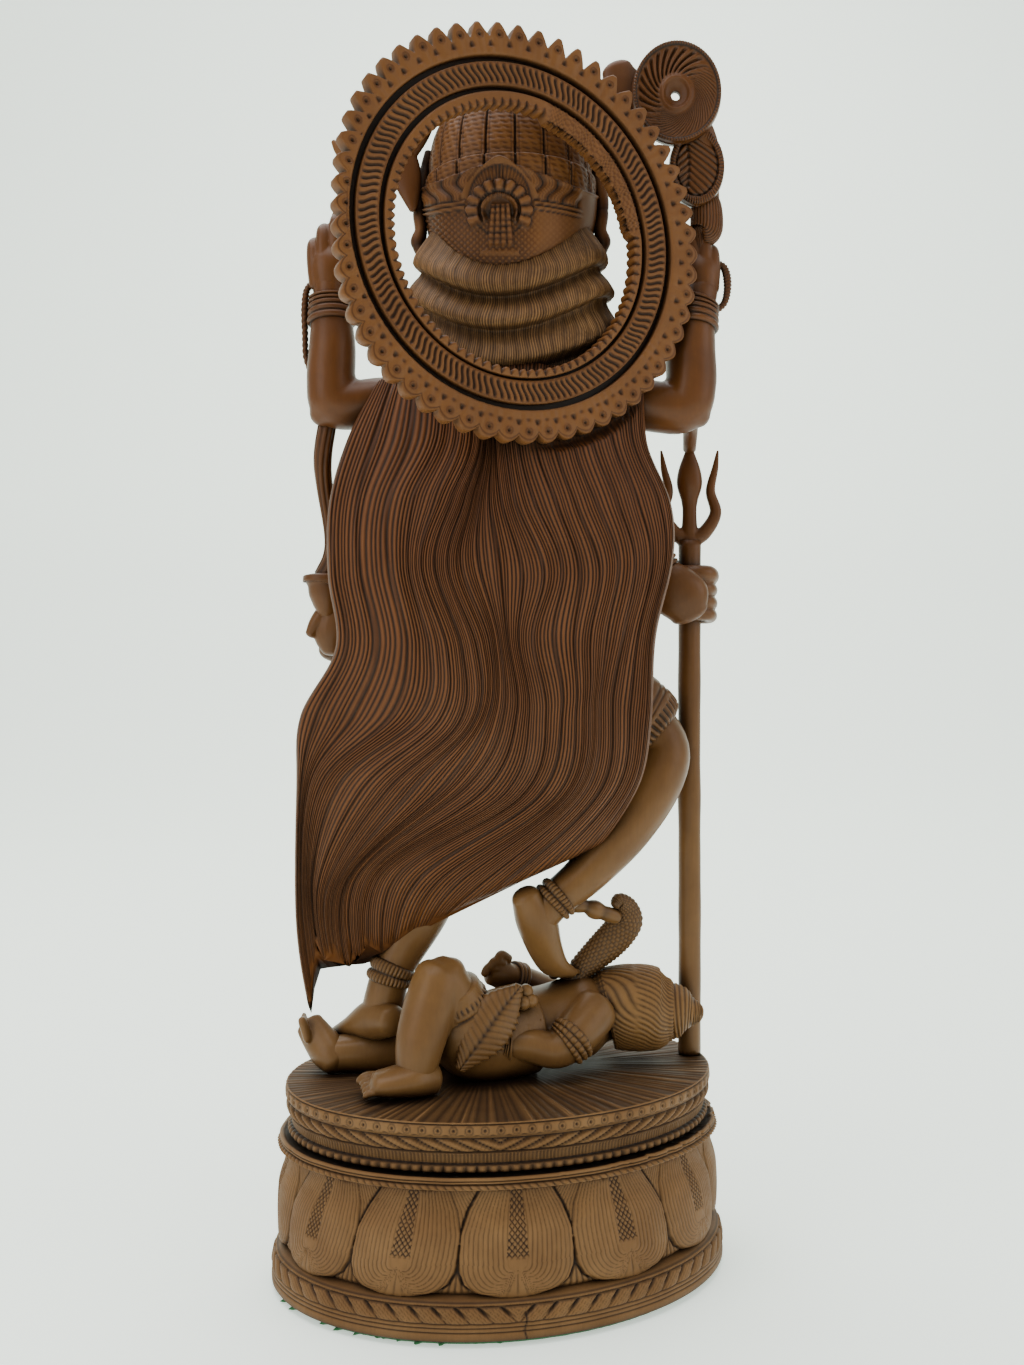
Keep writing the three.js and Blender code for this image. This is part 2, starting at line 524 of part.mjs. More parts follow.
// Lotus pedestal: a leaf band, a beaded fillet, a belly of hanging petals and a projecting rim.
function petalAngles() {
  const width = (Math.PI * 2) / PETAL_COUNT;
  const firstCrease = THREE.MathUtils.degToRad(CARVING_AXIS) - width / 2;
  const angles = [];
  for (let petal = 0; petal < PETAL_COUNT; petal += 1) {
    angles.push(...PETAL_STATIONS.map((station) => firstCrease + (petal + station) * width));
  }
  return angles;
}

// How far a petal stands out: full down its middle, drawn in to the crease and rounded to its tip below.
function petalHeight(angle, rise) {
  const turn = ((angle - THREE.MathUtils.degToRad(CARVING_AXIS)) / (Math.PI * 2)) * PETAL_COUNT;
  const fromMiddle = Math.abs(turn - Math.round(turn)) * 2;
  const halfWidth = Math.max(Math.sqrt(Math.min(rise / PETAL_TIP_REACH, 1)), 0.05);
  const crown = Math.max(0, 1 - (fromMiddle / halfWidth) ** 4);
  const sunk = Math.max(0, (rise - PETAL_SHOULDER) / (1 - PETAL_SHOULDER));
  return crown * (1 - PETAL_SINK * sunk);
}

function lotusBase() {
  const rows = [
    [FOOT_FILLET_INSET, PEDESTAL_FOOT],
    [0, LEAF_BAND_FOOT],
    [LEAF_BAND_SLOPE, LEAF_BAND_TOP],
    [BEAD_FILLET_INSET, LEAF_BAND_TOP],
    [BEAD_FILLET_INSET + BEAD_FILLET_SLOPE, BELLY_FOOT],
  ];
  const firstBellyRow = rows.length;
  for (let i = 0; i <= BELLY_ROWS; i += 1) {
    const rise = i / BELLY_ROWS;
    const inset = BELLY_INSET - BELLY_SWELL * Math.sin(Math.PI * Math.min(rise * 1.15, 1));
    rows.push([inset, BELLY_FOOT + BELLY_LIP + rise * (PETAL_BELLY_HEIGHT - 2 * BELLY_LIP)]);
  }
  rows.push([RIM_INSET, BELLY_TOP], [RIM_INSET, PEDESTAL_TOP]);
  return ovalBody(rows, petalAngles(), (inset, angle, row) => {
    const rise = (row - firstBellyRow) / BELLY_ROWS;
    const onBelly = rise >= 0 && rise <= 1;
    return onBelly ? inset - PETAL_RELIEF * petalHeight(angle, rise) : inset;
  });
}

// Platform: a row of blocks, a ribbed band, a rope band and a scalloped edge.
function platform() {
  const rows = [
    [BLOCK_ROW_INSET, PLATFORM_FOOT],
    [BLOCK_ROW_INSET, RIBBED_BAND_FOOT],
    [RIBBED_BAND_INSET, RIBBED_BAND_FOOT],
    [RIBBED_BAND_INSET - RIBBED_BAND_SLOPE, ROPE_BAND_FOOT],
    [PLATFORM_INSET + ROPE_BAND_SLOPE, ROPE_BAND_FOOT],
    [PLATFORM_INSET + ROPE_BAND_LIP, SCALLOP_BAND_FOOT],
    [PLATFORM_INSET, SCALLOP_BAND_FOOT + SCALLOP_BAND_CHAMFER],
    [PLATFORM_INSET, PLATFORM_TOP],
  ];
  const scalloped = rows.length - 2;
  return ovalBody(rows, evenAngles(OVAL_SIDES), (inset, angle, row) => {
    const scallop = Math.abs(Math.sin(angle * (OVAL_SIDES / 4)));
    return row < scalloped ? inset : inset + SCALLOP_DEPTH * (1 - scallop);
  });
}

// Halo: a toothed ring with two slotted grooves round a plain hole, standing upright behind the head.
function ringPath(radius, from, to, segments) {
  const points = [];
  for (let k = 0; k <= segments; k += 1) {
    const angle = from + ((to - from) * k) / segments;
    points.push(new THREE.Vector2(radius * Math.cos(angle), radius * Math.sin(angle)));
  }
  return points;
}

function fullRing(radius) {
  return ringPath(radius, 0, Math.PI * 2, HALO_SIDES).slice(0, -1);
}

function slotHoles(radius) {
  const holes = [];
  for (let k = 0; k < SLOT_BRIDGES; k += 1) {
    const pitch = (Math.PI * 2) / SLOT_BRIDGES;
    const margin = SLOT_BRIDGE_WIDTH / 2 / radius;
    const from = (k + 0.5) * pitch + margin;
    const to = (k + 1.5) * pitch - margin;
    const outer = ringPath(radius + SLOT_WIDTH / 2, from, to, SLOT_SIDES);
    const inner = ringPath(radius - SLOT_WIDTH / 2, to, from, SLOT_SIDES);
    holes.push(new THREE.Path([...outer, ...inner]));
  }
  return holes;
}

function haloPlate() {
  const outline = [];
  for (let k = 0; k < TOOTH_COUNT * 2; k += 1) {
    const angle = (k / (TOOTH_COUNT * 2)) * Math.PI * 2 + Math.PI / 2;
    const radius = k % 2 === 0 ? HALO_RADIUS : HALO_RADIUS - TOOTH_DEPTH;
    outline.push(new THREE.Vector2(radius * Math.cos(angle), radius * Math.sin(angle)));
  }
  const shape = new THREE.Shape(outline);
  const hole = new THREE.Path(fullRing(HALO_HOLE_RADIUS));
  shape.holes = [hole, ...slotHoles(OUTER_SLOT_RADIUS), ...slotHoles(INNER_SLOT_RADIUS)];
  const geometry = new THREE.ExtrudeGeometry(shape, { depth: HALO_THICKNESS, bevelEnabled: false });
  geometry.translate(0, 0, -HALO_THICKNESS / 2);
  geometry.rotateX(Math.PI / 2);
  return geometry;
}

// The room that the hair leaves for the halo, open towards the back.
function haloSeat() {
  const shape = new THREE.Shape(fullRing(HALO_RADIUS + TOUCH_GAP));
  shape.holes = [new THREE.Path(fullRing(HALO_HOLE_RADIUS - TOUCH_GAP))];
  const depth = FIGURE_HEIGHT;
  const geometry = new THREE.ExtrudeGeometry(shape, { depth, bevelEnabled: false });
  geometry.rotateX(Math.PI / 2);
  geometry.translate(0, HALO_THICKNESS / 2 + TOUCH_GAP, 0);
  geometry.rotateZ(THREE.MathUtils.degToRad(HALO_TURN));
  geometry.translate(...HALO_CENTRE);
  return geometry;
}

// Trident: a round shaft and three prongs, with every surface moved out by grow.
function tridentSolid(grow) {
  const foot = TOUCH_GAP - grow;
  const socket = TRIDENT_LENGTH - PRONG_LENGTH;
  const heightAt = (rise) => socket + PRONG_LENGTH * rise;
  const outline = [
    [0, foot],
    [SHAFT_RADIUS + grow, foot],
    ...MIDDLE_PRONG.map(([width, rise]) => [SHAFT_RADIUS * width + grow, heightAt(rise)]),
    [0, TRIDENT_LENGTH + grow],
  ];
  const profile = outline.map(([radius, z]) => new THREE.Vector2(radius, z));
  const pieces = [new THREE.LatheGeometry(profile, TRIDENT_SIDES).rotateX(Math.PI / 2)];
  for (const side of [-1, 1]) {
    const rows = SIDE_PRONG.map(([reach, rise, width]) => {
      const halfWidth = SHAFT_RADIUS * width;
      return [side * PRONG_SPREAD * reach, 0, heightAt(rise), halfWidth, halfWidth];
    });
    const shares = rows.map((row) => row.map((value) => value / SHARE));
    pieces.push(limb(shares, { sides: SMALL_SIDES, grow }));
  }
  return joined(pieces).translate([TRIDENT_PLACE[0] * SHARE, TRIDENT_PLACE[1] * SHARE, 0]);
}

// Hair down the back: locks between the guides, with a ridge down each one.
function hairPoint(across, along) {
  const column = across * (HAIR_GUIDES.length - 1);
  const stations = HAIR_GUIDES[0].length - 1;
  const here = HAIR_GUIDES.map((guide) => smooth(guide, along * stations));
  const [x, z] = smooth(here, column);
  const [back, thickness] = smooth(HAIR_DEPTH, along * stations);
  const fromMiddle = Math.abs(across * 2 - 1);
  const curl = HAIR_EDGE_CURL * fromMiddle ** 3 * (1 - 0.7 * along);
  return { x, z, back: back + curl, thickness: thickness * (1 - 0.55 * fromMiddle ** 3) };
}

function hairFall() {
  const columns = LOCK_COUNT * LOCK_COLUMNS;
  const frontStep = LOCK_COLUMNS * LOCKS_PER_FRONT_COLUMN;
  const rings = [];
  for (let row = 0; row <= HAIR_ROWS; row += 1) {
    const backPoints = [];
    const frontPoints = [];
    for (let column = 0; column <= columns; column += 1) {
      const phase = (column % LOCK_COLUMNS) / LOCK_COLUMNS;
      const ridge = Math.sin(Math.PI * phase);
      const along = (row / HAIR_ROWS) * (1 - LOCK_TIP_NOTCH * (1 - ridge));
      const { x, z, back, thickness } = hairPoint(column / columns, along);
      backPoints.push([x * SHARE, (back - LOCK_RELIEF * (ridge - 0.5)) * SHARE, z * SHARE]);
      if (column % frontStep === 0) {
        frontPoints.push([x * SHARE, (back + thickness) * SHARE, z * SHARE]);
      }
    }
    rings.push([...backPoints, ...frontPoints.reverse()]);
  }
  const points = rings.flat();
  const triangles = ringWalls(rings);
  const sides = rings[0].length;
  for (const row of [0, HAIR_ROWS]) {
    for (let column = 0; column < columns; column += 1) {
      const front = row * sides + sides - 1 - Math.floor((column + frontStep / 2) / frontStep);
      const back = row * sides + column;
      const cap = [[back, back + 1, front]];
      if (column % frontStep === frontStep / 2 - 1) {
        cap.push([back + 1, front - 1, front]);
      }
      for (const [a, b, c] of cap) {
        triangles.push(row === 0 ? [b, a, c] : [a, b, c]);
      }
    }
  }
  return closedGeometry(points, triangles);
}

// A flat round disc facing back and front, with a hole through it.
function disc(centre, radius, holeRadius, thickness, sides) {
  const section = [...DISC_SECTION, DISC_SECTION[0]];
  const profile = section.map(([reach, side]) => {
    const share = holeRadius + (radius - holeRadius) * reach;
    return new THREE.Vector2(share * SHARE, side * thickness * SHARE);
  });
  const geometry = new THREE.LatheGeometry(profile, sides);
  geometry.translate(...centre.map((share) => share * SHARE));
  return geometry;
}

// Fingers that close round the trident's shaft, one above another.
function grip() {
  const [x, y] = TRIDENT_PLACE;
  const reach = SHAFT_RADIUS / SHARE + FINGER_RADIUS;
  const fingers = [];
  for (let finger = 0; finger < FINGER_COUNT; finger += 1) {
    const up = FIST_PLACE[2] + (finger - (FINGER_COUNT - 1) / 2) * FINGER_RADIUS * 2;
    const rows = [];
    for (let joint = 0; joint <= FINGER_JOINTS; joint += 1) {
      const angle = THREE.MathUtils.degToRad(FINGER_START + FINGER_BEND * joint);
      const place = [x + reach * Math.cos(angle), y + reach * Math.sin(angle), up];
      rows.push([...place, FINGER_RADIUS, FINGER_RADIUS]);
    }
    fingers.push(limb(rows, { sides: SMALL_SIDES, facing: UP }));
  }
  return fingers;
}

function fistPalm() {
  const [x, y, up] = FIST_PLACE;
  const rows = [];
  for (let k = 0; k <= FIST_ROWS; k += 1) {
    const tilt = (Math.PI * (k + 0.25)) / (FIST_ROWS + 0.5);
    const halfWidth = FIST_HALF_WIDTH * Math.sin(tilt);
    rows.push([x, y, up - FIST_HALF_HEIGHT * Math.cos(tilt), halfWidth, halfWidth]);
  }
  return limb(rows);
}

// The necklace, and the garland whose beads are small heads
function garland() {
  const heads = (along) => Math.abs(Math.sin(along * GARLAND_HEADS * Math.PI));
  const beads = (along) => GARLAND_WAIST + (1 - GARLAND_WAIST) * heads(along);
  const string = GARLAND.map((row) => [...row, GARLAND_RADIUS, GARLAND_RADIUS]);
  const necklace = NECKLINE.map((row) => [...row, NECKLACE_RADIUS, NECKLACE_RADIUS]);
  return [
    limb(string, { sides: THIN_SIDES, steps: 3, facing: UP, swell: beads }),
    limb(necklace, { sides: THIN_SIDES, facing: UP }),
  ];
}

function standingFigure() {
  const foldAt = (along, angle) => 1 + SKIRT_FOLD_RELIEF * Math.cos(angle * SKIRT_FOLDS) * (1 - along);
  const plateAt = (along, angle) => {
    const plate = Math.abs(Math.sin((angle * CROWN_PLATES) / 2));
    return along > CROWN_PLATES_FROM ? 1 - CROWN_PLATE_RELIEF * (1 - plate) : 1;
  };
  return [
    limb(TORSO, { sides: 9 }),
    ...BREASTS.map((rows) => limb(rows, { facing: UP })),
    limb(cuffed(STANDING_LEG, ...STANDING_ANKLET)),
    limb(STANDING_FOOT, { facing: UP }),
    limb(cuffed(BENT_LEG, ...BENT_ANKLET)),
    limb(BENT_FOOT, { facing: UP }),
    ...RAISED_ARMS.map((rows) => limb(cuffed(rows, ...RAISED_BANGLES))),
    limb(LOWER_LEFT_ARM),
    limb(LOWER_RIGHT_ARM),
    fistPalm(),
    ...grip(),
    upright(FACE, HEAD_ACROSS, 9),
    limb(NOSE, { sides: THIN_SIDES }),
    upright(HEAD_PROFILE, HEAD_ACROSS, CROWN_PLATES * 2, plateAt),
    disc(MEDALLION, MEDALLION_RADIUS, MEDALLION_BOSS, MEDALLION_THICKNESS, MEDALLION_SIDES),
    ...EAR_ORNAMENTS.map((centre) => bead(centre, EAR_ORNAMENT_RADIUS)),
    upright(SKIRT, SKIRT_ACROSS, SKIRT_FOLDS * 2, foldAt),
    limb(THIGH_CLOTH),
    ...garland(),
    hairFall(),
  ];
}

function heldThings() {
  return [
    limb(SWORD_GRIP, { sides: SMALL_SIDES }),
    limb(SWORD_GUARD, { sides: THIN_SIDES }),
    limb(SWORD_BLADE, { sides: THIN_SIDES }),
    disc(DISC_CENTRE, DISC_RADIUS, DISC_HOLE_RADIUS, DISC_THICKNESS, DISC_SIDES),
    limb(DISC_STEM, { sides: SMALL_SIDES }),
    limb(CRESCENT, { sides: SMALL_SIDES }),
    ...CORDS.map((rows) => limb(rows, { sides: THIN_SIDES })),
    limb(BOWL, { sides: BOWL_SIDES }),
    limb(STREAMER, { sides: SMALL_SIDES }),
    limb(ELBOW_STRUT, { sides: THIN_SIDES, facing: UP }),
  ];
}

function lyingFigure() {
  return [
    limb(LYING_TORSO),
    limb(LYING_NEAR_LEG),
    limb(LYING_NEAR_FOOT, { facing: UP }),
    limb(LYING_FAR_LEG),
    limb(LYING_FAR_FOOT),
    limb(LYING_NEAR_ARM),
    limb(LYING_FAR_ARM),
    limb(LYING_HEAD, { sides: 9 }),
    limb(LYING_FACE, { facing: UP, sides: SMALL_SIDES }),
    limb(LYING_SKIRT),
    limb(COBRA, { sides: SMALL_SIDES }),
    limb(COBRA_STRUT, { sides: THIN_SIDES }),
  ];
}

// The whole carved group, trimmed flat below and cleared for the halo and the trident.
function figureGroup() {
  const carving = joined([...standingFigure(), ...heldThings(), ...lyingFigure()]);
  const below = new THREE.BoxGeometry(FIGURE_HEIGHT, FIGURE_HEIGHT, FIGURE_HEIGHT);
  below.translate(0, 0, TOUCH_GAP - FIGURE_HEIGHT / 2);
  return carving
    .subtract(solidOf(below))
    .subtract(solidOf(haloSeat()))
    .subtract(tridentSolid(TOUCH_GAP));
}

// Assembly
function part(name, geometry, colour, roughness) {
  const material = new THREE.MeshStandardMaterial({ color: colour, roughness, metalness: 0 });
  const mesh = new THREE.Mesh(geometry, material);
  mesh.name = name;
  return mesh;
}

const figure = part("figure_group", geometryOf(figureGroup()), WOOD_COLOUR, 0.45);
const trident = part("trident", geometryOf(tridentSolid(0)), WOOD_COLOUR, 0.4);
const halo = part("halo", geometryOf(solidOf(haloPlate())), HAIR_COLOUR, 0.55);
halo.position.set(...HALO_CENTRE);
halo.rotation.z = THREE.MathUtils.degToRad(HALO_TURN);

const carving = new THREE.Group();
carving.add(figure, trident, halo);
carving.position.z = PLATFORM_TOP;
carving.rotation.z = THREE.MathUtils.degToRad(FIGURE_TURN);

const work = new THREE.Group();
work.add(part("felt_pad", feltPad(), FELT_COLOUR, 0.95));
work.add(part("lotus_base", lotusBase(), PEDESTAL_COLOUR, 0.55));
work.add(part("platform", platform(), PEDESTAL_COLOUR, 0.55));
work.add(carving);

export default work;
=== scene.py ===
"""Carved wooden kali figure on a lotus pedestal, dressed round its CAD frame in Blender 4.5."""
import math

import bpy
import numpy as np
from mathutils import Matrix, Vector


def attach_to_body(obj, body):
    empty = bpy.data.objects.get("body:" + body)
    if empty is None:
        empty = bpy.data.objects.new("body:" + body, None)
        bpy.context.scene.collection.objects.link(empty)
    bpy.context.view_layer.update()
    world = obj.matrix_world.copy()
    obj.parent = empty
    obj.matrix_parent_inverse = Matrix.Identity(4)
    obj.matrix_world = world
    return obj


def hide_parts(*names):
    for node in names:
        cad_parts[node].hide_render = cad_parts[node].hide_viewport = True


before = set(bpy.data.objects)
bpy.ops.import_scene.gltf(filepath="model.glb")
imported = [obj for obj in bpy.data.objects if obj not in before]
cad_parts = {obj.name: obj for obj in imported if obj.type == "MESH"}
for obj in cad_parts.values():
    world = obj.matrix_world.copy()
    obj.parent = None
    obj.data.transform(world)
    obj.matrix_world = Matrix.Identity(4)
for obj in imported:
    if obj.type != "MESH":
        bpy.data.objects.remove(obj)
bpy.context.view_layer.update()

# Sizes, in millimetres, as the CAD model has them. Pose rows are in shares of the standing figure.
MM = 0.001
GAP = 0.3
SHARE = 3.8
FIGURE_TURN = math.radians(-18)
HALF_LENGTH = 89
HALF_WIDTH = 69
PLATFORM_TOP = 74.8
CARVING_AXIS = math.radians(-100)
TURN = 2 * math.pi
FIGURE = "figure_group"


# Curves and grids
def curve(before, start, end, after, t):
    """A smooth curve from start to end that also heeds the values before and after them."""
    slope = (end - before) / 2
    next_slope = (after - start) / 2
    rise = end - start
    bend = 3 * rise - 2 * slope - next_slope
    return start + t * (slope + t * (bend + t * (slope + next_slope - 2 * rise)))


def smooth(rows, places):
    """Rows of numbers read smoothly at places that count in rows."""
    rows = np.asarray(rows, float)
    last = len(rows) - 1
    places = np.clip(np.asarray(places, float), 0, last)
    index = np.minimum(np.floor(places).astype(int), last - 1)
    neighbours = [rows[np.clip(index + k, 0, last)] for k in (-1, 0, 1, 2)]
    return curve(*neighbours, (places - index)[..., None])


def unit(value):
    """The value, held between 0 and 1."""
    return np.clip(value, 0, 1)


def step(value, start, end):
    """A smooth rise from 0 at start to 1 at end."""
    t = unit((value - start) / (end - start))
    return t * t * (3 - 2 * t)


def within(value, start, full, falling, end):
    """A smooth rise from start to full, and a fall from falling to end."""
    return step(value, start, full) * (1 - step(value, falling, end))


def bump(value, centre, half_width):
    """A smooth bump of height 1 round a centre."""
    return np.clip(1 - ((value - centre) / half_width) ** 2, 0, None) ** 2


def spot(value, width):
    """A soft spot of height 1 where the value is 0."""
    return np.exp(-(value / width) ** 2)


def waves(value):
    """A row of round bumps, one for each whole number, from 0 between them to 1."""
    return np.abs(np.cos(np.pi * value))


def waves_round(angles, count, shift=0):
    """Round bumps, so many to a full turn."""
    return waves(angles / TURN * count + shift)


def ridges(value, floor=0):
    """A row of narrow ridges, one for each whole number, over a flat floor."""
    return np.clip(np.cos(TURN * value), floor, 1)


def wander(values, seed, count=6):
    """Smooth uneven noise along one number, about -1 to 1."""
    random = np.random.default_rng(seed)
    total = np.zeros_like(np.asarray(values, float))
    for _ in range(count):
        total = total + np.sin(values * random.uniform(0.5, 2.5) + random.uniform(0, 7))
    return total / math.sqrt(count)


def full_turn(count, start=0):
    """Angles evenly round a full turn, as one row."""
    return (start + np.linspace(0, TURN, count, endpoint=False))[None, :]


def stacked(x, y, z):
    """Points from their three coordinates."""
    return np.stack(np.broadcast_arrays(x, y, z), axis=-1)


def tube_faces(rows, columns, ring=False):
    """Faces over closed rows of points. A ring's last row joins its first, and a tube has caps."""
    row, column = np.meshgrid(np.arange(rows if ring else rows - 1), np.arange(columns), indexing="ij")
    after_row = (row + 1) % rows
    after = (column + 1) % columns
    first, second = row * columns, after_row * columns
    corners = [first + column, first + after, second + after, second + column]
    faces = np.stack(corners, axis=-1).reshape(-1, 4).tolist()
    if not ring:
        faces.append(list(range(columns))[::-1])
        faces.append(list(range((rows - 1) * columns, rows * columns)))
    return faces


def turned(x, y, angle):
    """A point on the ground plane, turned round the upright axis."""
    return x * math.cos(angle) - y * math.sin(angle), x * math.sin(angle) + y * math.cos(angle)


def to_world(points):
    """Points of the figure's own frame, in shares, as millimetres in the row frame."""
    points = np.asarray(points, float) * SHARE
    x, y = turned(points[..., 0], points[..., 1], FIGURE_TURN)
    return stacked(x, y, points[..., 2] + PLATFORM_TOP)


def above_platform(points):
    """Holds points clear of the platform that they lie on."""
    held = points.copy()
    held[..., 2] = np.maximum(held[..., 2], PLATFORM_TOP + GAP)
    return held


def vertex_places(mesh):
    places = np.zeros(len(mesh.vertices) * 3)
    mesh.vertices.foreach_get("co", places)
    return places.reshape(-1, 3)


def turn_outward(mesh):
    """Flips a closed mesh whose faces point inward."""
    mesh.calc_loop_triangles()
    corners = np.zeros(len(mesh.loop_triangles) * 3, np.int32)
    mesh.loop_triangles.foreach_get("vertices", corners)
    triangles = vertex_places(mesh)[corners.reshape(-1, 3)]
    volume = np.einsum("ij,ij->i", triangles[:, 0], np.cross(triangles[:, 1], triangles[:, 2])).sum()
    if volume < 0:
        mesh.flip_normals()


def add_object(name, data):
    thing = bpy.data.objects.new(name, data)
    bpy.context.collection.objects.link(thing)
    return thing


def with_modifiers(piece):
    """The mesh of a piece as its modifiers leave it."""
    depsgraph = bpy.context.evaluated_depsgraph_get()
    return bpy.data.meshes.new_from_object(piece.evaluated_get(depsgraph))


def mesh_piece(name, part, material, node=None, keep=1):
    """A piece that rides on the body, and stands for a CAD node. Part is its points, faces and relief.

    Relief is 1 on the surface and 0 in the depth of a cut. Keep is the share of the triangles that stay.
    """
    points, faces, relief = part
    mesh = bpy.data.meshes.new(name)
    mesh.from_pydata((points.reshape(-1, 3) * MM).tolist(), [], faces)
    attribute = mesh.attributes.new("relief", "FLOAT", "POINT")
    values = np.broadcast_to(relief, points.shape[:-1]).reshape(-1)
    attribute.data.foreach_set("value", values.astype(np.float32))
    mesh.update()
    turn_outward(mesh)
    mesh.shade_smooth()
    mesh.materials.append(material)
    piece = add_object(name, mesh)
    if keep < 1:
        piece.modifiers.new("thin_out", "DECIMATE").ratio = keep
        thinner = with_modifiers(piece)
        piece.modifiers.clear()
        piece.data = thinner
    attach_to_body(piece, "root")
    if node:
        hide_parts(node)
    return piece


# Materials
# Heights between which the stain of the wood turns darker
STAIN_HEIGHTS = (130 * MM, 300 * MM)
# Dark colour of the cuts and corners: patina, with painted shade
PATINA_AND_SHADE = (0.014, 0.006, 0.0025)
# How far the painted shade of a corner reaches
PAINTED_SHADE_REACH = 9 * MM
PORE_DEPTH = 0.12 * MM


def wood_material(name, slot, colour, roughness, grain, patchy, worn, upper=(1, 1, 1)):
    """Carved wood: long grain, uneven stain, dark patina and painted shade in the cuts and corners, paler
    ridges of wear and painted highlight, and a varied sheen.

    Upper multiplies the colour towards the top of the work, where the stain is darker and redder.
    """
    material = bpy.data.materials.new(name)
    material["slot"] = slot
    material.use_nodes = True
    nodes = material.node_tree.nodes
    links = material.node_tree.links
    nodes.clear()

    def attach(value, socket):
        if isinstance(value, bpy.types.NodeSocket):
            links.new(value, socket)
        else:
            socket.default_value = value

    def node(kind, **inputs):
        """A node whose inputs are named with underscores for spaces, and take a value or a link."""
        made = nodes.new(f"ShaderNode{kind}")
        for socket, value in inputs.items():
            attach(value, made.inputs[socket.replace("_", " ")])
        return made

    def mixed(blend, factor, first, second):
        mix = nodes.new("ShaderNodeMix")
        mix.data_type = "RGBA"
        mix.blend_type = blend
        for socket, value in (("Factor", factor), ("A", first), ("B", second)):
            attach(value, mix.inputs[socket])
        return mix.outputs["Result"]

    def ranged(value, low, high, to_low, to_high):
        limits = {"From_Min": low, "From_Max": high, "To_Min": to_low, "To_Max": to_high}
        return node("MapRange", Value=value, **limits).outputs["Result"]

    def noise(scale, detail, vector):
        return node("TexNoise", Scale=scale, Detail=detail, Vector=vector).outputs["Fac"]

    place = nodes.new("ShaderNodeTexCoord").outputs["Object"]
    stretched = node("Mapping", Vector=place, Scale=(1.0, 1.0, 0.12)).outputs["Vector"]
    fibres = noise(900, 5, stretched)
    stain = noise(45, 4, place)
    mottle = noise(160, 3, place)

    height = node("SeparateXYZ", Vector=place).outputs["Z"]
    rise = ranged(height, *STAIN_HEIGHTS, 0, 1)
    tone = mixed("MIX", rise, [*colour, 1], [value * top for value, top in zip(colour, upper)] + [1])
    grained = mixed("MULTIPLY", ranged(fibres, 0.35, 0.7, 1, 0), tone, [1 - grain] * 3 + [1])
    patches = [1 - patchy, 1 - patchy * 1.2, 1 - patchy * 1.4, 1]
    stained = mixed("MULTIPLY", ranged(stain, 0.35, 0.65, 1, 0), grained, patches)
    uneven = mixed("MULTIPLY", ranged(mottle, 0.4, 0.7, 0.6, 0), stained, [1 - patchy * 0.6] * 3 + [1])

    cut = nodes.new("ShaderNodeAttribute")
    cut.attribute_name = "relief"
    relief = cut.outputs["Fac"]
    # Paler ridges: wear on the carving and a painted highlight along their tops
    ridge_wear_and_highlight = mixed("ADD", ranged(relief, 0.72, 1, 0, worn), uneven, [value * 1.1 for value in colour] + [1])
    # Ambient occlusion darkens corners, hollows and places under overhangs: painted shade
    painted_shade = node("AmbientOcclusion", Distance=PAINTED_SHADE_REACH)
    painted_shade.samples = 6
    clean_and_lit = nodes.new("ShaderNodeMath")
    clean_and_lit.operation = "MULTIPLY"
    attach(ranged(relief, 0, 0.85, 0, 1), clean_and_lit.inputs[0])
    attach(ranged(painted_shade.outputs["AO"], 0.2, 0.85, 0, 1), clean_and_lit.inputs[1])
    # Cuts and occluded places take the dark colour: patina and painted shade
    base = mixed("MIX", clean_and_lit.outputs["Value"], [*PATINA_AND_SHADE, 1], ridge_wear_and_highlight)

    sheen = ranged(stain, 0.3, 0.7, roughness + 0.1, roughness - 0.06)
    pores = node("Bump", Strength=0.2, Distance=PORE_DEPTH, Height=fibres).outputs["Normal"]
    shader = node("BsdfPrincipled", Base_Color=base, Roughness=sheen, Normal=pores, Specular_IOR_Level=0.2)
    node("OutputMaterial", Surface=shader.outputs["BSDF"])
    return material


def felt_material():
    """Matt green felt with a fibrous surface."""
    material = bpy.data.materials.new("felt")
    material["slot"] = "felt"
    material.use_nodes = True
    nodes = material.node_tree.nodes
    links = material.node_tree.links
    shader = nodes["Principled BSDF"]
    shader.inputs["Roughness"].default_value = 0.95
    shader.inputs["Sheen Weight"].default_value = 0.4
    place = nodes.new("ShaderNodeTexCoord")
    fibres = nodes.new("ShaderNodeTexNoise")
    fibres.inputs["Scale"].default_value = 1600
    fibres.inputs["Detail"].default_value = 4
    links.new(place.outputs["Object"], fibres.inputs["Vector"])
    ramp = nodes.new("ShaderNodeValToRGB")
    ramp.color_ramp.elements[0].color = (0.004, 0.05, 0.012, 1)
    ramp.color_ramp.elements[1].color = (0.03, 0.2, 0.06, 1)
    links.new(fibres.outputs["Fac"], ramp.inputs["Fac"])
    links.new(ramp.outputs["Color"], shader.inputs["Base Color"])
    nap = nodes.new("ShaderNodeBump")
    nap.inputs["Strength"].default_value = 0.6
    nap.inputs["Distance"].default_value = 0.3 * MM
    links.new(fibres.outputs["Fac"], nap.inputs["Height"])
    links.new(nap.outputs["Normal"], shader.inputs["Normal"])
    return material


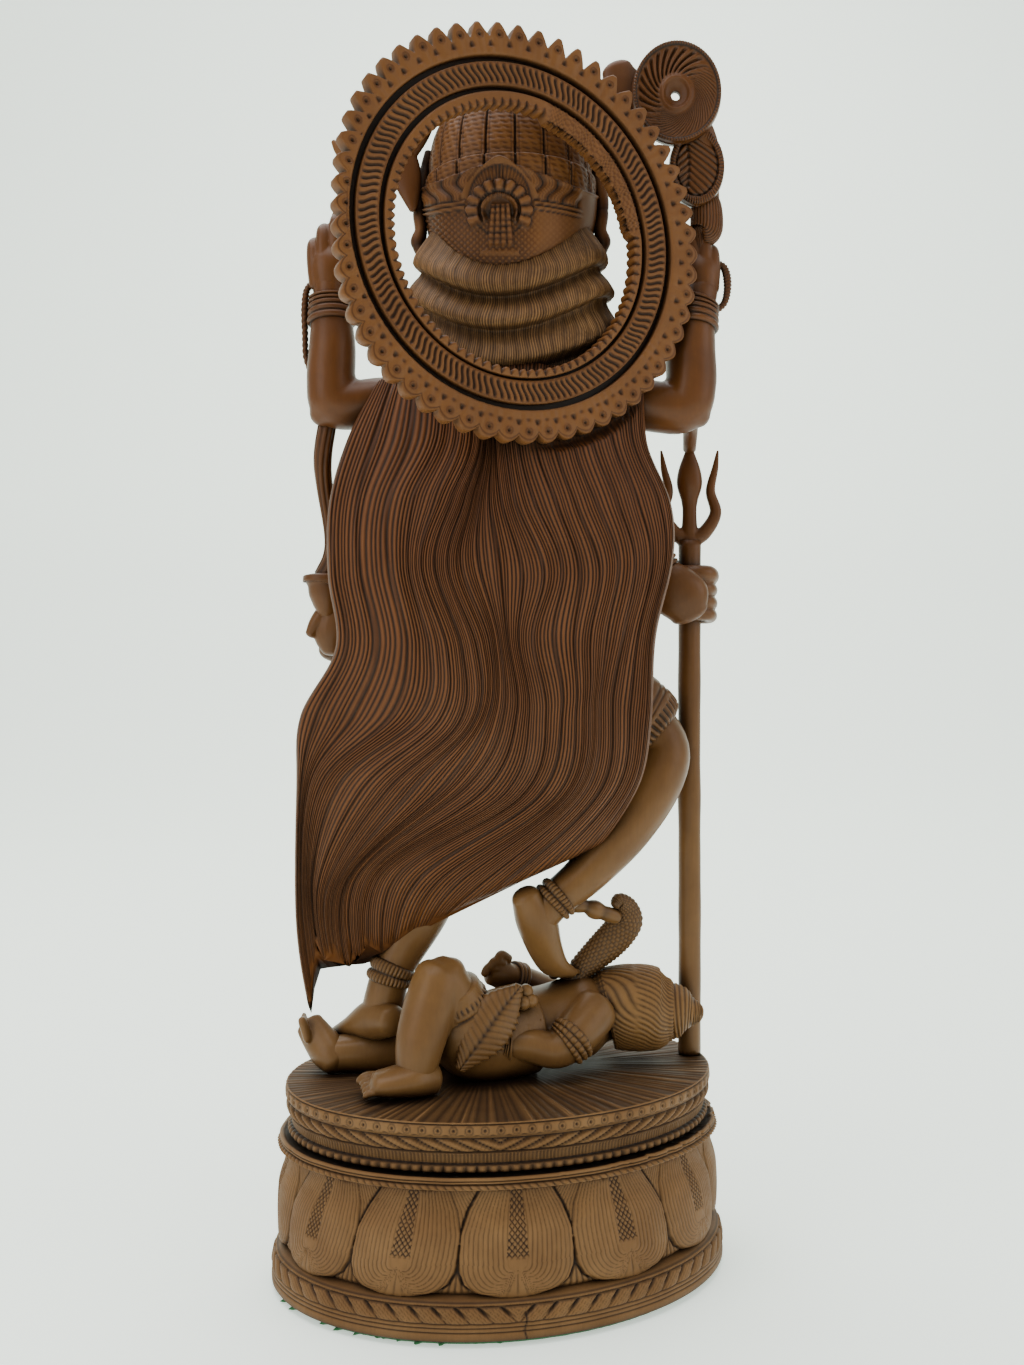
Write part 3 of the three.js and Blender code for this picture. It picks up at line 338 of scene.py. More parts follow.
FLESH_WOOD = wood_material(
    "polished_wood", "wood", (0.165, 0.081, 0.027), 0.35, 0.08, 0.22, 0, (0.64, 0.44, 0.31))
HAIR_WOOD = wood_material(
    "hair_wood", "hair_wood", (0.098, 0.034, 0.0085), 0.52, 0.12, 0.2, 0.45, (0.86, 0.75, 0.75))
ROLL_WOOD = wood_material("roll_wood", "hair_wood", (0.19, 0.092, 0.032), 0.55, 0.12, 0.2, 0.3)
HALO_WOOD = wood_material("halo_wood", "wood", (0.18, 0.09, 0.03), 0.5, 0.1, 0.2, 0.15, (0.62, 0.42, 0.26))
BASE_WOOD = wood_material("pedestal_wood", "pedestal_wood", (0.163, 0.08, 0.0275), 0.58, 0.12, 0.25, 0.15)
FELT = felt_material()


# Oval pedestal
def oval_points(angles, insets, heights):
    """Points of an oval whose outline is drawn in by insets at heights."""
    return stacked((HALF_LENGTH - insets) * np.cos(angles), (HALF_WIDTH - insets) * np.sin(angles), heights)


def girth_places(angles):
    """Distance round the oval from the carving's axis, left and right alike."""
    fine = np.linspace(-math.pi, math.pi, 2881) + CARVING_AXIS
    steps = np.hypot(HALF_LENGTH * np.sin(fine), HALF_WIDTH * np.cos(fine)) * (fine[1] - fine[0])
    total = np.cumsum(steps) - steps[0]
    total = total - total[1440]
    nearest = (angles - CARVING_AXIS + math.pi) % TURN - math.pi + CARVING_AXIS
    return np.interp(nearest, fine, total)


def oval_band(name, node, rows, columns, material, carve, keep=1, tops=None):
    """A closed oval band through rows of inset and height.

    Carve adds relief to each point, from its angle, height and row. Tops says how deep each row is fluted.
    """
    angles = full_turn(columns, CARVING_AXIS)
    table = np.asarray(rows, float)
    inset = table[:, :1] + 0 * angles
    height = table[:, 1:] + 0 * angles
    out, relief = carve(angles, height, np.arange(len(rows))[:, None])
    if tops is not None:
        height = height - 0.45 * (1 - flutes(angles)) * tops
    points = oval_points(angles, inset - out, height)
    mesh_piece(name, (points, tube_faces(len(rows), columns), relief), material, node, keep)


# Side of the oval where tufts of felt stand out below the wood
FRINGE_SIDE = math.radians(-150)
FELT_ROWS = [(3.6, 0), (3.3, 0.25), (3.1, 0.8), (3.2, 1.3), (3.6, 1.5)]


def felt_pad():
    """The felt under the pedestal, with a frayed edge."""
    def carve(angles, height, row):
        fray = 0.5 * wander(angles * 90, 3) + 0.5 * wander(angles * 31, 4)
        left = step(np.cos(angles - FRINGE_SIDE), 0.55, 0.95)
        return (0.3 * np.clip(fray, -1, 1) + left * np.clip(5 * fray - 2, 0, 3)) * bump(height, 0.8, 1.2), 1

    oval_band("felt_pad_cloth", "felt_pad", FELT_ROWS, 720, FELT, carve)


# Outline of a hanging petal: rise over the belly and half width in half pitches
PETAL_OUTLINE = [
    (0, 0.2), (0.012, 0.42), (0.05, 0.68), (0.13, 0.86), (0.25, 0.96), (0.4, 1.0), (0.6, 0.99),
    (0.81, 0.88), (1, 0.7),
]
PETAL_COUNT = 12
PETAL_RELIEF = 3.6
PETAL_KNOT = 0.33
# Height of a petal in half widths
PETAL_STRETCH = 1.74
# How far the petals lean towards the carving's axis at their tops, in radians
PETAL_LEAN = 0.2
PETAL_LINES = 12
PETAL_FOOT = 15.1
PETAL_TOP = 51.7


def petal_cells(angles, half, rise):
    """Place across a point's petal and across its cell, and whether the next petal covers or joins it."""
    from_axis = angles - CARVING_AXIS
    cell = (from_axis + PETAL_LEAN * rise * np.sin(from_axis)) / TURN * PETAL_COUNT
    cell = (cell + PETAL_COUNT / 2) % PETAL_COUNT - PETAL_COUNT / 2
    number = np.round(cell)
    place = (cell - number) * 2 + 0 * rise
    outward = np.where(number == 0, np.where(place < 0, -1, 1), np.where(number < 0, -1, 1))
    covered = (np.abs(place) > half) & (rise > 0.5)
    owned = np.where(covered & (place * outward > 0), place - 2 * outward, place)
    joined = (rise > 0.5) & (place * outward < 0)
    return owned, place, covered, joined


def petal_belly():
    """The belly of hanging petals, each with incised lines, a hatched strip and a knot near its tip."""
    rises = np.concatenate([np.linspace(0, 0.12, 13), np.linspace(0.12, 1, 80)[1:]])
    heights = PETAL_FOOT + rises * (PETAL_TOP - PETAL_FOOT)
    swell = np.sin(math.pi * np.minimum(rises * 1.25, 1)) ** 0.8
    rows = np.stack([6.4 - 0.9 * swell + 0.7 * rises, heights], axis=1)
    outline = np.array(PETAL_OUTLINE)

    def carve(angles, height, row):
        rise = rises[row]
        half = np.interp(rise, outline[:, 0], outline[:, 1])
        owned, place, covered, joined = petal_cells(angles, half, rise)
        from_side = np.abs(place) / half
        inside = np.where(rise > 0.5, 1, 1 - step(from_side, 0.97, 1.02))
        rounded = unit(1 - unit(np.abs(owned) / half) ** 4 * 0.42) * inside - 0.2 * covered
        sunk = 1 - 0.6 * step(rise, 0.6, 1)
        tip = 0.85 + 0.15 * step(rise, 0, 0.1)
        crease = bump(from_side, 1.03, 0.045) * step(rise, 0.02, 0.1) * (1 - joined)

        x = np.abs(owned)
        y = (rise - PETAL_KNOT) * PETAL_STRETCH
        level = np.where(y > 0, x / half, (x ** 2 + (y / 1.15) ** 2) / np.maximum(x, 0.02))
        lines = ridges(PETAL_LINES * level + 0.2 * np.sin(rise * 7)) ** 2
        fan = ridges(np.arctan2(x, -y) * 20 / TURN) ** 2 * (y < 0) * step(level, 1.0, 1.15)
        near = (1 - step(np.hypot(x, y), 0.42, 0.62)) * step(np.hypot(x, y), 0.05, 0.12) * inside
        above_knot = step(rise - PETAL_KNOT, 0.03, 0.07)
        strip = (1 - step(x / (0.25 - 0.14 * rise), 0.9, 1.02)) * above_knot
        side_step = owned * 10.2
        up_step = rise * 15.5
        hatch = np.maximum(ridges(side_step + up_step), ridges(side_step - up_step)) ** 3
        fading = step(level, 0.12, 0.2) * (1 - step(level, 1.0, 1.06) * (y < 0)) * inside * (1 - strip)
        cut = np.maximum(np.maximum(lines * fading * 0.75, fan * near * 0.8), hatch * strip * 1.6)

        behind = 1 - inside
        leaf_across = 1 - np.abs(place)
        leaf_tip = unit(1 - (leaf_across / 0.42) ** 2 * 0.5 - bump(rise, 0, 0.07) * 0.9)
        back_leaf = behind * (1 - step(rise, 0.3, 0.45)) * leaf_tip
        ribs = ridges(5 * leaf_across / (0.16 + 0.9 * unit(0.5 - rise)))
        out = PETAL_RELIEF * rounded * sunk * tip + back_leaf * (1.6 - ribs * 0.45)
        out = out - 0.34 * cut - 0.9 * crease
        relief = 1 - unit(0.72 * cut + crease + 0.6 * ribs * back_leaf)
        # The ground between the petals' lower parts is darkened: painted shade behind the hanging petals
        return out, relief * (1 - 0.5 * behind * (1 - back_leaf))

    oval_band("petal_belly", "lotus_base", rows, 1680, BASE_WOOD, carve, keep=0.3)


def slanting_leaves(girth, height, pitch, lean, foot):
    """Place across a row of slanting leaves that mirror at the carving's axis, and the leaves up to it."""
    leaf = np.abs(girth) / pitch - (height - foot) / (pitch * lean)
    return leaf - np.floor(leaf), leaf


# Rows of inset and height from the foot of the pedestal to its top, in millimetres
LEAF_BAND_ROWS = [
    (14, 1.8), (1.2, 1.8), (0.4, 2.1), (0.05, 2.6), (0, 3.4), (0, 4.2), (0.1, 4.8), (0.6, 5.1), (0.2, 5.4),
    (0.15, 5.9), (0.2, 6.3), (0.7, 6.6), (0.3, 6.9), (0.25, 7.3), (0.35, 7.7), (0.75, 8.0), (0.5, 8.5),
    (0.55, 8.9), (0.6, 9.4), (0.7, 9.9), (0.8, 10.4), (0.9, 10.9), (1.0, 11.4), (1.1, 11.9), (1.2, 12.4),
    (1.35, 12.9), (1.7, 13.2), (1.95, 13.4), (1.7, 13.65), (1.6, 13.9), (1.75, 14.15), (2.2, 14.5),
    (2.9, 14.9), (3.8, 15.3), (4.7, 15.7), (6.5, 16.2), (14, 16.7),
]
RIM_ROWS = [
    (14, 51.8), (8.4, 51.8), (4.7, 52.0), (3.6, 52.2), (3.0, 52.6), (2.8, 53.1), (3.0, 53.6), (3.7, 54.0),
    (4.0, 54.2), (3.3, 54.5), (3.1, 54.8), (3.3, 55.1), (3.8, 55.25), (3.3, 55.4), (3.1, 55.8), (3.3, 56.2),
    (3.8, 56.4), (4.3, 56.35), (4.9, 56), (5.6, 55.5), (14, 55.4),
]


def leaf_band():
    """The foot: a plain fillet, two thin ones, a band of slanting leaves, a beaded line and a ledge."""
    def carve(angles, height, row):
        girth = girth_places(angles)
        place, leaf = slanting_leaves(girth, height, 8.1, 0.8, 8)
        zone = within(height, 8.1, 8.6, 12.9, 13.2)
        upper = step(height, 9.4, 12)
        swell = np.sin(math.pi * unit(place * 1.05)) ** 0.6
        wedge = bump(place, 0.97, 0.24) * upper + bump(place, 0.02, 0.07) * (0.35 + 0.4 * upper)
        veins = ridges(5 * leaf) ** 2
        beads = bump(height, 13.9, 0.45) * ridges(girth / 1.15, -0.2)
        wear = 0.12 * wander(girth * 0.16, 11) * step(height, 1.9, 2.6)
        crack = spot(girth - 2.5 - 0.4 * np.sin(height * 0.9), 0.28) * within(height, 1.9, 2.5, 11, 12)
        out = zone * (0.7 * swell - 1.1 * wedge - 0.16 * veins) + 0.32 * beads - 0.5 * crack + wear * 0.4
        relief = 1 - unit(zone * (0.95 * wedge + 0.4 * veins) + 0.9 * crack)
        thin_lines = sum(bump(height, level, 0.3) for level in (5.1, 6.6, 8, 13.35, 14.5))
        return out, relief * (1 - 0.75 * thin_lines) * (0.8 + 0.2 * unit(beads + 0.5))

    oval_band("leaf_band", "lotus_base", LEAF_BAND_ROWS, 1200, BASE_WOOD, carve, keep=0.42)


def pedestal_rim():
    """The rim: a twisted cord under two thin fillets, chipped along one side."""
    def carve(angles, height, row):
        girth = girth_places(angles)
        cord = bump(height, 53.1, 1.3)
        twist = waves(girth / 3.0 + (height - 53.1) / 2.6)
        fillets = step(height, 54.3, 54.7)
        chipped = np.clip(wander(girth * 0.26, 21) + 0.5 * wander(girth * 0.9, 22) - 0.35, 0, 1.4)
        chips = chipped * step(girth, 25, 55)
        ragged = unit(wander(girth * 0.5, 23) - 0.9)
        out = 1.25 * cord * (twist ** 0.8 - 0.45) - fillets * (0.9 * chips + 0.4 * ragged)
        dark = bump(height, 54.2, 0.35) + 0.7 * bump(height, 55.25, 0.25)
        # The rim's top, under the platform's edge, is darkened: painted shade in the gap beneath the
        # platform
        dark = dark + step(row, len(RIM_ROWS) - 4, len(RIM_ROWS) - 2)
        relief = (1 - 0.95 * unit(dark)) * (1 - 0.8 * cord * (1 - twist) ** 2)
        return out + 0.08 * wander(girth * 0.2, 24), relief

    oval_band("pedestal_rim", "lotus_base", RIM_ROWS, 1200, BASE_WOOD, carve, keep=0.6)


DRUM_ROWS = [
    (16, 56.7), (8.6, 56.75), (7.3, 57.0), (6.7, 57.4), (6.5, 57.9), (6.45, 58.35), (6.5, 58.8),
    (6.7, 59.3), (7.3, 59.7), (8.2, 59.9), (7.9, 60.2), (7.8, 60.8), (7.7, 61.4), (7.6, 62.0), (7.5, 62.6),
    (7.3, 63.1), (7.0, 63.5), (7.1, 63.8), (7.9, 64.1), (7.1, 64.5), (6.6, 65.1), (6.3, 65.7), (6.1, 66.3),
    (6.0, 66.9), (6.0, 67.5), (6.1, 68.1), (6.5, 68.6), (6.9, 69.0), (6.3, 69.3), (6.0, 69.7), (5.75, 70.2),
    (5.6, 70.7), (5.5, 71.2), (5.5, 71.7), (5.5, 72.2), (5.5, 72.7), (5.6, 73.2), (5.8, 73.6), (6.3, 73.9),
    (5.6, 74.1), (5.3, 74.4), (5.5, 74.7),
]
DRUM_TOP_INSETS = [6.2, 7.5, 9, 11, 14, 18, 22, 27, 33, 40, 48, 58]
FLUTES = 130


def flutes(angles):
    """Uneven flutes that run out from the middle of the platform."""
    place = (angles - CARVING_AXIS) / TURN * FLUTES + 0.35 * wander(angles * 13, 27)
    return waves(place) * (0.75 + 0.25 * wander(angles * 31, 28))


def drum():
    """The platform: block beads, a ribbed band, a rope of leaves, drilled rosettes and a fluted top."""
    def carve(angles, height, row):
        girth = girth_places(angles)
        on_top = row >= len(DRUM_ROWS)
        blocks = bump(height, 58.35, 1.75) ** 0.4
        block = waves(girth / 4.2) ** 0.42
        out = 1.8 * blocks * (block - 0.75)
        # The line at the platform's foot, over the rim, is painted shade in the gap between them; the others
        # are dark cuts
        dark = blocks * (1 - block) ** 0.5 * 0.9 + bump(height, 59.85, 0.4) + bump(height, 56.8, 0.4)

        ribbed = within(height, 60, 60.4, 63.6, 63.9)
        rib = ridges(girth / 1.45, -0.3)
        out = out + 0.28 * ribbed * rib
        dark = dark + 0.6 * ribbed * (1 - unit(rib)) + bump(height, 64.1, 0.45) * 0.8

        rope = within(height, 64.1, 64.7, 68.5, 69)
        place, leaf = slanting_leaves(girth + 6, height, 7.2, 0.46, 64)
        lobe = np.sin(math.pi * place) ** 0.5
        fine = ridges(4 * leaf) ** 2
        out = out + rope * (1.8 * lobe - 1.2 - 0.12 * fine)
        dark = dark + rope * (1.1 * (1 - lobe) ** 1.1 + 0.3 * fine) + bump(height, 69.0, 0.4)

        band = within(height, 69.5, 69.9, 73.6, 73.9)
        beside = (girth / 5.8 - np.round(girth / 5.8)) * 5.8
        from_drill = np.hypot(beside, height - 71.9)
        drill = spot(from_drill, 0.55)
        ring = spot(from_drill - 1.45, 0.3)
        edge = 70.1 + 0.8 * (1 - np.sqrt(unit(1 - (beside / 2.95) ** 2)))
        hem = step(height, edge - 0.3, edge + 0.2)
        out = out + band * (0.45 * hem - 1.0 * drill - 0.25 * ring - 0.4 * (1 - hem))
        dark = dark + band * (drill + 0.6 * ring + 0.7 * (1 - hem)) + bump(height, 73.9, 0.35) * 0.9

        lip = step(height, 74, 74.2)
        flute = flutes(angles)
        crack = spot(girth - 27 - 0.6 * np.sin(height * 0.7), 0.5) * lip
        out = out + (0.28 * lip * (flute - 0.6) - 0.4 * crack) * (1 - on_top)
        # The whole fluted top is darkened, more in the flutes: painted shade under the figures on it
        relief = (1 - unit(dark)) * (1 - on_top * (0.36 + 0.5 * (1 - flute)) - 0.6 * crack * on_top)
        return out, unit(relief)

    rows = DRUM_ROWS + [(inset, PLATFORM_TOP) for inset in DRUM_TOP_INSETS]
    tops = np.concatenate([np.zeros(len(DRUM_ROWS)), 1 - step(np.array(DRUM_TOP_INSETS), 36, 52)])[:, None]
    oval_band("drum", "platform", rows, 1200, BASE_WOOD, carve, keep=0.5, tops=tops)


# Halo
HALO_CENTRE = (1.4, -12.3, 81.5)
HALO_TURN = math.radians(24) + FIGURE_TURN
HALO_THICKNESS = 6
HALO_REACH = 75
TOOTH_COUNT = 57
TOOTH_RADIUS = 69
FLUTE_COUNT = 146
BEAD_COUNT = 90
# Part of the inner ring that has lost its beads, in degrees
BARE_ARC = (8, 76)
# Stretch of the outer slot that is cut right through, in degrees
OPEN_ARC = (50, 80)
RIM_FOOT = 62.4
FLUTE_RADII = (51.9, 60.2)
BEAD_RING_RADII = (46.3, 50)


def arc(angles, ends, blend=2.5):
    """1 inside a range of degrees, 0 outside it."""
    degrees = np.degrees(angles) % 360
    return within(degrees, ends[0] - blend, ends[0] + blend, ends[1] - blend, ends[1] + blend)


def halo_piece(name, angles, radius, depth, relief, keep=1, node=None):
    """A ring round the halo's centre, from rows of radius and depth at each angle."""
    centre = to_world(HALO_CENTRE)
    x, y = turned(radius * np.cos(angles), depth, HALO_TURN)
    points = stacked(centre[0] + x, centre[1] + y, centre[2] + radius * np.sin(angles))
    return mesh_piece(name, (points, tube_faces(*radius.shape, ring=True), relief), HALO_WOOD, node, keep)


def halo_ring(name, columns, inner, outer, back_rows, carve, keep):
    """A closed flat ring whose back is carved. Inner and outer give its radii at each angle."""
    angles = full_turn(columns)
    half = HALO_THICKNESS / 2
    edge = 0.4
    shares = np.concatenate([np.linspace(0, 1, back_rows), [1, 1, 0.98, 0.66, 0.33, 0.02, 0, 0]])[:, None]
    front_depths = [edge - half, half - edge, half, half, half, half, half - edge, edge - half]
    depths = np.concatenate([np.full(back_rows, -half), front_depths])[:, None]
    radius = inner(angles) + shares * (outer(angles) - inner(angles)) + 0 * angles
    on_back = np.arange(len(depths))[:, None] < back_rows
    from_edge = np.minimum(radius - inner(angles), outer(angles) - radius)
    rounding = np.minimum(from_edge / 0.8, 1)
    out, relief = carve(angles, radius, from_edge)
    depth = depths + on_back * ((1 - rounding) ** 2 * 0.6 - out)
    halo_piece(name, angles, radius, depth, np.where(on_back, relief, 1), keep, "halo")


def tooth_places(angles):
    """Place across the nearest tooth, -1 to 1."""
    tooth = (angles - math.pi / 2) / TURN * TOOTH_COUNT
    return (tooth - np.round(tooth)) * 2


def tooth_tips(angles):
    """Radius of the tips: the teeth are shorter along the left side."""
    return 74 - 6.4 * spot(np.degrees(angles) % 360 - 180, 30)


def halo_rim():
    """The toothed rim: pointed teeth above, scallops below, each with a drilled dot in a ring."""
    def outer(angles):
        beside = np.abs(tooth_places(angles))
        pointed = unit(1.12 - 1.15 * beside ** 1.35)
        scallop = np.sqrt(unit(1 - (beside * 0.98) ** 2))
        top = step(np.sin(angles), -0.1, 0.5)
        shape = top * pointed + (1 - top) * (0.65 * scallop + 0.35 * pointed)
        notch = (3.4 + 2.0 * top) * (1 + 0.12 * wander(angles * 17, 31))
        return tooth_tips(angles) - notch * (1 - shape)

    def carve(angles, radius, from_edge):
        half_pitch = math.pi * TOOTH_RADIUS / TOOTH_COUNT
        beside = tooth_places(angles) * half_pitch
        top = step(np.sin(angles), -0.1, 0.5)
        drilled = tooth_tips(angles) - (3.9 + 0.6 * top)
        from_drill = np.hypot(beside, radius - drilled)
        drill = spot(from_drill, 0.55)
        ring = spot(from_drill - 1.3, 0.35)
        other = (np.abs(tooth_places(angles)) - 1) * half_pitch
        below = radius - (drilled - 3.3)
        punch = np.exp(-below ** 4) * spot(other, 0.85 - below * 0.35)
        punch = punch * step(radius, RIM_FOOT + 0.6, RIM_FOOT + 1.4)
        second = spot(below + 0.9, 0.55) * spot(beside, 0.9) * step(-np.sin(angles), 0.3, 0.7)
        border = (1 - top) * bump(from_edge, 0.9, 0.5) * step(radius, drilled - 1, drilled)
        out = 0.3 * ring - drill - 0.9 * punch - 0.5 * second - 0.25 * border
        out = out + 0.1 * wander(angles * 60, 32)
        return out, 1 - unit(drill + 0.35 * ring + 0.85 * punch + 0.6 * second + 0.5 * border)

    halo_ring("halo_rim", TOOTH_COUNT * 22, lambda angles: RIM_FOOT, outer, 22, carve, 0.5)


def halo_flutes():
    """The middle ring, carved all round with slanting S-shaped flutes."""
    foot, top = FLUTE_RADII

    def carve(angles, radius, from_edge):
        share = (radius - foot) / (top - foot)
        inside = within(share, 0.06, 0.2, 0.82, 0.95)
        sway = 0.2 * np.sin(TURN * (share - 0.5)) + 0.75 * share
        flute = angles / TURN * FLUTE_COUNT - sway + 0.15 * wander(angles * 9, 33)
        groove = (0.5 + 0.5 * np.cos(TURN * flute)) ** 1.8
        border = bump(share, 0.95, 0.035) + bump(share, 0.05, 0.035)
        return -0.95 * groove * inside - 0.2 * border, 1 - unit(0.95 * groove * inside + 0.4 * border)

    halo_ring("halo_flutes", FLUTE_COUNT * 8, lambda angles: foot, lambda angles: top, 16, carve, 0.75)


def halo_beads():
    """The inner ring, toothed with small worn beads that one stretch has lost."""
    def bead(angles):
        return waves(angles / TURN * BEAD_COUNT + 0.1 * wander(angles * 7, 34)) ** 0.8

    def inner(angles):
        bare = arc(angles, BARE_ARC)
        lower = -1.6 * np.sin(angles) - 1.5 * bare + 1.1 * (1 - bare) * (1 - bead(angles))
        return BEAD_RING_RADII[0] + lower + 0.25 * bare * wander(angles * 80, 36)

    def outer(angles):
        return BEAD_RING_RADII[1] + unit(-np.sin(angles))

    def carve(angles, radius, from_edge):
        bare = arc(angles, BARE_ARC)
        row = (1 - step(radius - inner(angles), 1.4, 2)) * (1 - bare)
        worn = 0.8 + 0.25 * wander(angles * 13, 35)
        rough = 0.2 * wander(angles * 90, 37) * np.sin(radius * 3.1)
        out = row * worn * (1.2 * bead(angles) - 0.6) + bare * (rough - 0.5)
        return out, (1 - unit(row * (1 - bead(angles)) ** 1.1)) * (1 - 0.25 * bare * (rough < 0))

    halo_ring("halo_beads", BEAD_COUNT * 12, inner, outer, 12, carve, 0.6)


def slot_floor(name, foot, top, open_arc=None):
    """The floor of a slot between two rings of the halo, cut through along one stretch, dark all over as
    painted shade deep in the slot.
    """
    angles = full_turn(240)
    opened = arc(angles, open_arc) if open_arc else 0 * angles
    low = foot + opened * (top - foot) * 0.5
    high = top + 0 * angles
    depth = np.array([[0.9], [0.9], [2.6], [2.6]])
    # Relief 0 gives the floor the dark colour of the cuts: painted shade
    piece = halo_piece(name, angles, np.concatenate([low, high, high, low]), depth, 0)
    piece.data.set_sharp_from_angle(angle=math.radians(30))


# Hair down the back. Each guide runs from the shoulders to the tips, as across and up.
HAIR_GUIDES = [
    [(-12.3, 69.6), (-15, 63.5), (-16.6, 56.9), (-16.6, 50.1), (-15.8, 43), (-19.3, 36.3), (-19.9, 29.4),
     (-20.4, 15.5), (-19.5, 5.8)],
    [(-6.8, 70.2), (-6.9, 63.1), (-9.4, 57), (-9.9, 50.6), (-8.4, 43), (-10, 36.7), (-17, 30.2),
     (-19.2, 20.5), (-18.7, 10.1)],
    [(-2.8, 70.4), (-2.4, 62.6), (-4.3, 57), (-6.2, 50.6), (-3.7, 42.6), (-4.2, 35.9), (-11.4, 29.2),
     (-17.3, 19.2), (-17.1, 10.6)],
    [(-1.7, 70.5), (-1.2, 62.3), (-2.1, 56.3), (-2.5, 50.6), (-0.5, 43.6), (-0.4, 36.7), (-4.1, 30),
     (-14.5, 20.5), (-15.2, 10.9)],
    [(-0.1, 70.5), (0.1, 62.8), (0.9, 56.7), (3, 50.3), (2, 44), (3.1, 36.7), (0.7, 28.9), (-11.2, 20.8),
     (-12.8, 11.3)],
    [(4.3, 70.2), (4.1, 62.6), (5.9, 56.4), (7.8, 50.4), (6.9, 44), (7.2, 37.4), (5.4, 28.9), (-5.9, 20.2),
     (-9.3, 13.9)],
    [(9, 70), (9.2, 63.1), (11.1, 56.9), (12.6, 51.1), (11.3, 44.5), (10.3, 38.9), (9.2, 29.3),
     (-0.2, 19.8), (-3.6, 17)],
    [(14, 69.8), (14.1, 63.3), (16.3, 57.1), (16.4, 51.5), (14.7, 44), (14.3, 35.9), (13.4, 29.8),
     (10.2, 23.9), (8.8, 22.6)],
]
# How far back the hair stands, and how thick it is, from the shoulders to the tips
HAIR_DEPTH = [
    (-9.4, 6), (-10.8, 7.5), (-11.8, 8.2), (-12.1, 8.4), (-12, 8), (-11.2, 7), (-9.2, 5.4), (-6, 3.4),
    (-2.6, 1.2),
]
HAIR_EDGE_CURL = 4.6
STRAND_COUNT = 112
STRAND_POINTS = 4
SIDE_STRANDS = 9
HAIR_ROWS = 150
STRAND_RELIEF = 0.22
LOCK_RELIEF = 0.18
# Broad locks: how many over the width, how far they sway and where they begin
LOCKS = [(9, 2.1, 0.4), (15, -3.3, 1.9), (24, 4.7, 3.1)]


def hair_places(across, along):
    """Across, up, back and thickness of the hair at shares of its width and length."""
    stations = len(HAIR_DEPTH) - 1
    columns = np.stack([smooth(guide, along * stations) for guide in HAIR_GUIDES])
    last = len(HAIR_GUIDES) - 1
    place = across * last
    index = np.minimum(np.floor(place).astype(int), last - 1)
    near = [np.clip(index + k, 0, last)[None, ..., None] for k in (-1, 0, 1, 2)]
    neighbours = [np.take_along_axis(columns, guide, axis=0)[0] for guide in near]
    points = curve(*neighbours, (place - index)[..., None])
    depth = smooth(HAIR_DEPTH, along * stations)
    from_middle = np.abs(across * 2 - 1)
    back = depth[..., 0] + HAIR_EDGE_CURL * from_middle ** 3 * (1 - 0.7 * along)
    return points[..., 0], points[..., 1], back, depth[..., 1] * (1 - 0.55 * from_middle ** 3)


def clear_of_halo(points):
    """Holds points of the hair in front of the halo where it hangs before them."""
    offset = points - to_world(HALO_CENTRE)
    across, depth = turned(offset[..., 0], offset[..., 1], -HALO_TURN)
    radius = np.hypot(across, offset[..., 2])
    nearest = HALO_THICKNESS / 2 + GAP - np.clip(radius - HALO_REACH, 0, None) * 1.6
    push = np.clip(nearest - depth, 0, None)
    return points + stacked(*turned(0, push, HALO_TURN), 0)


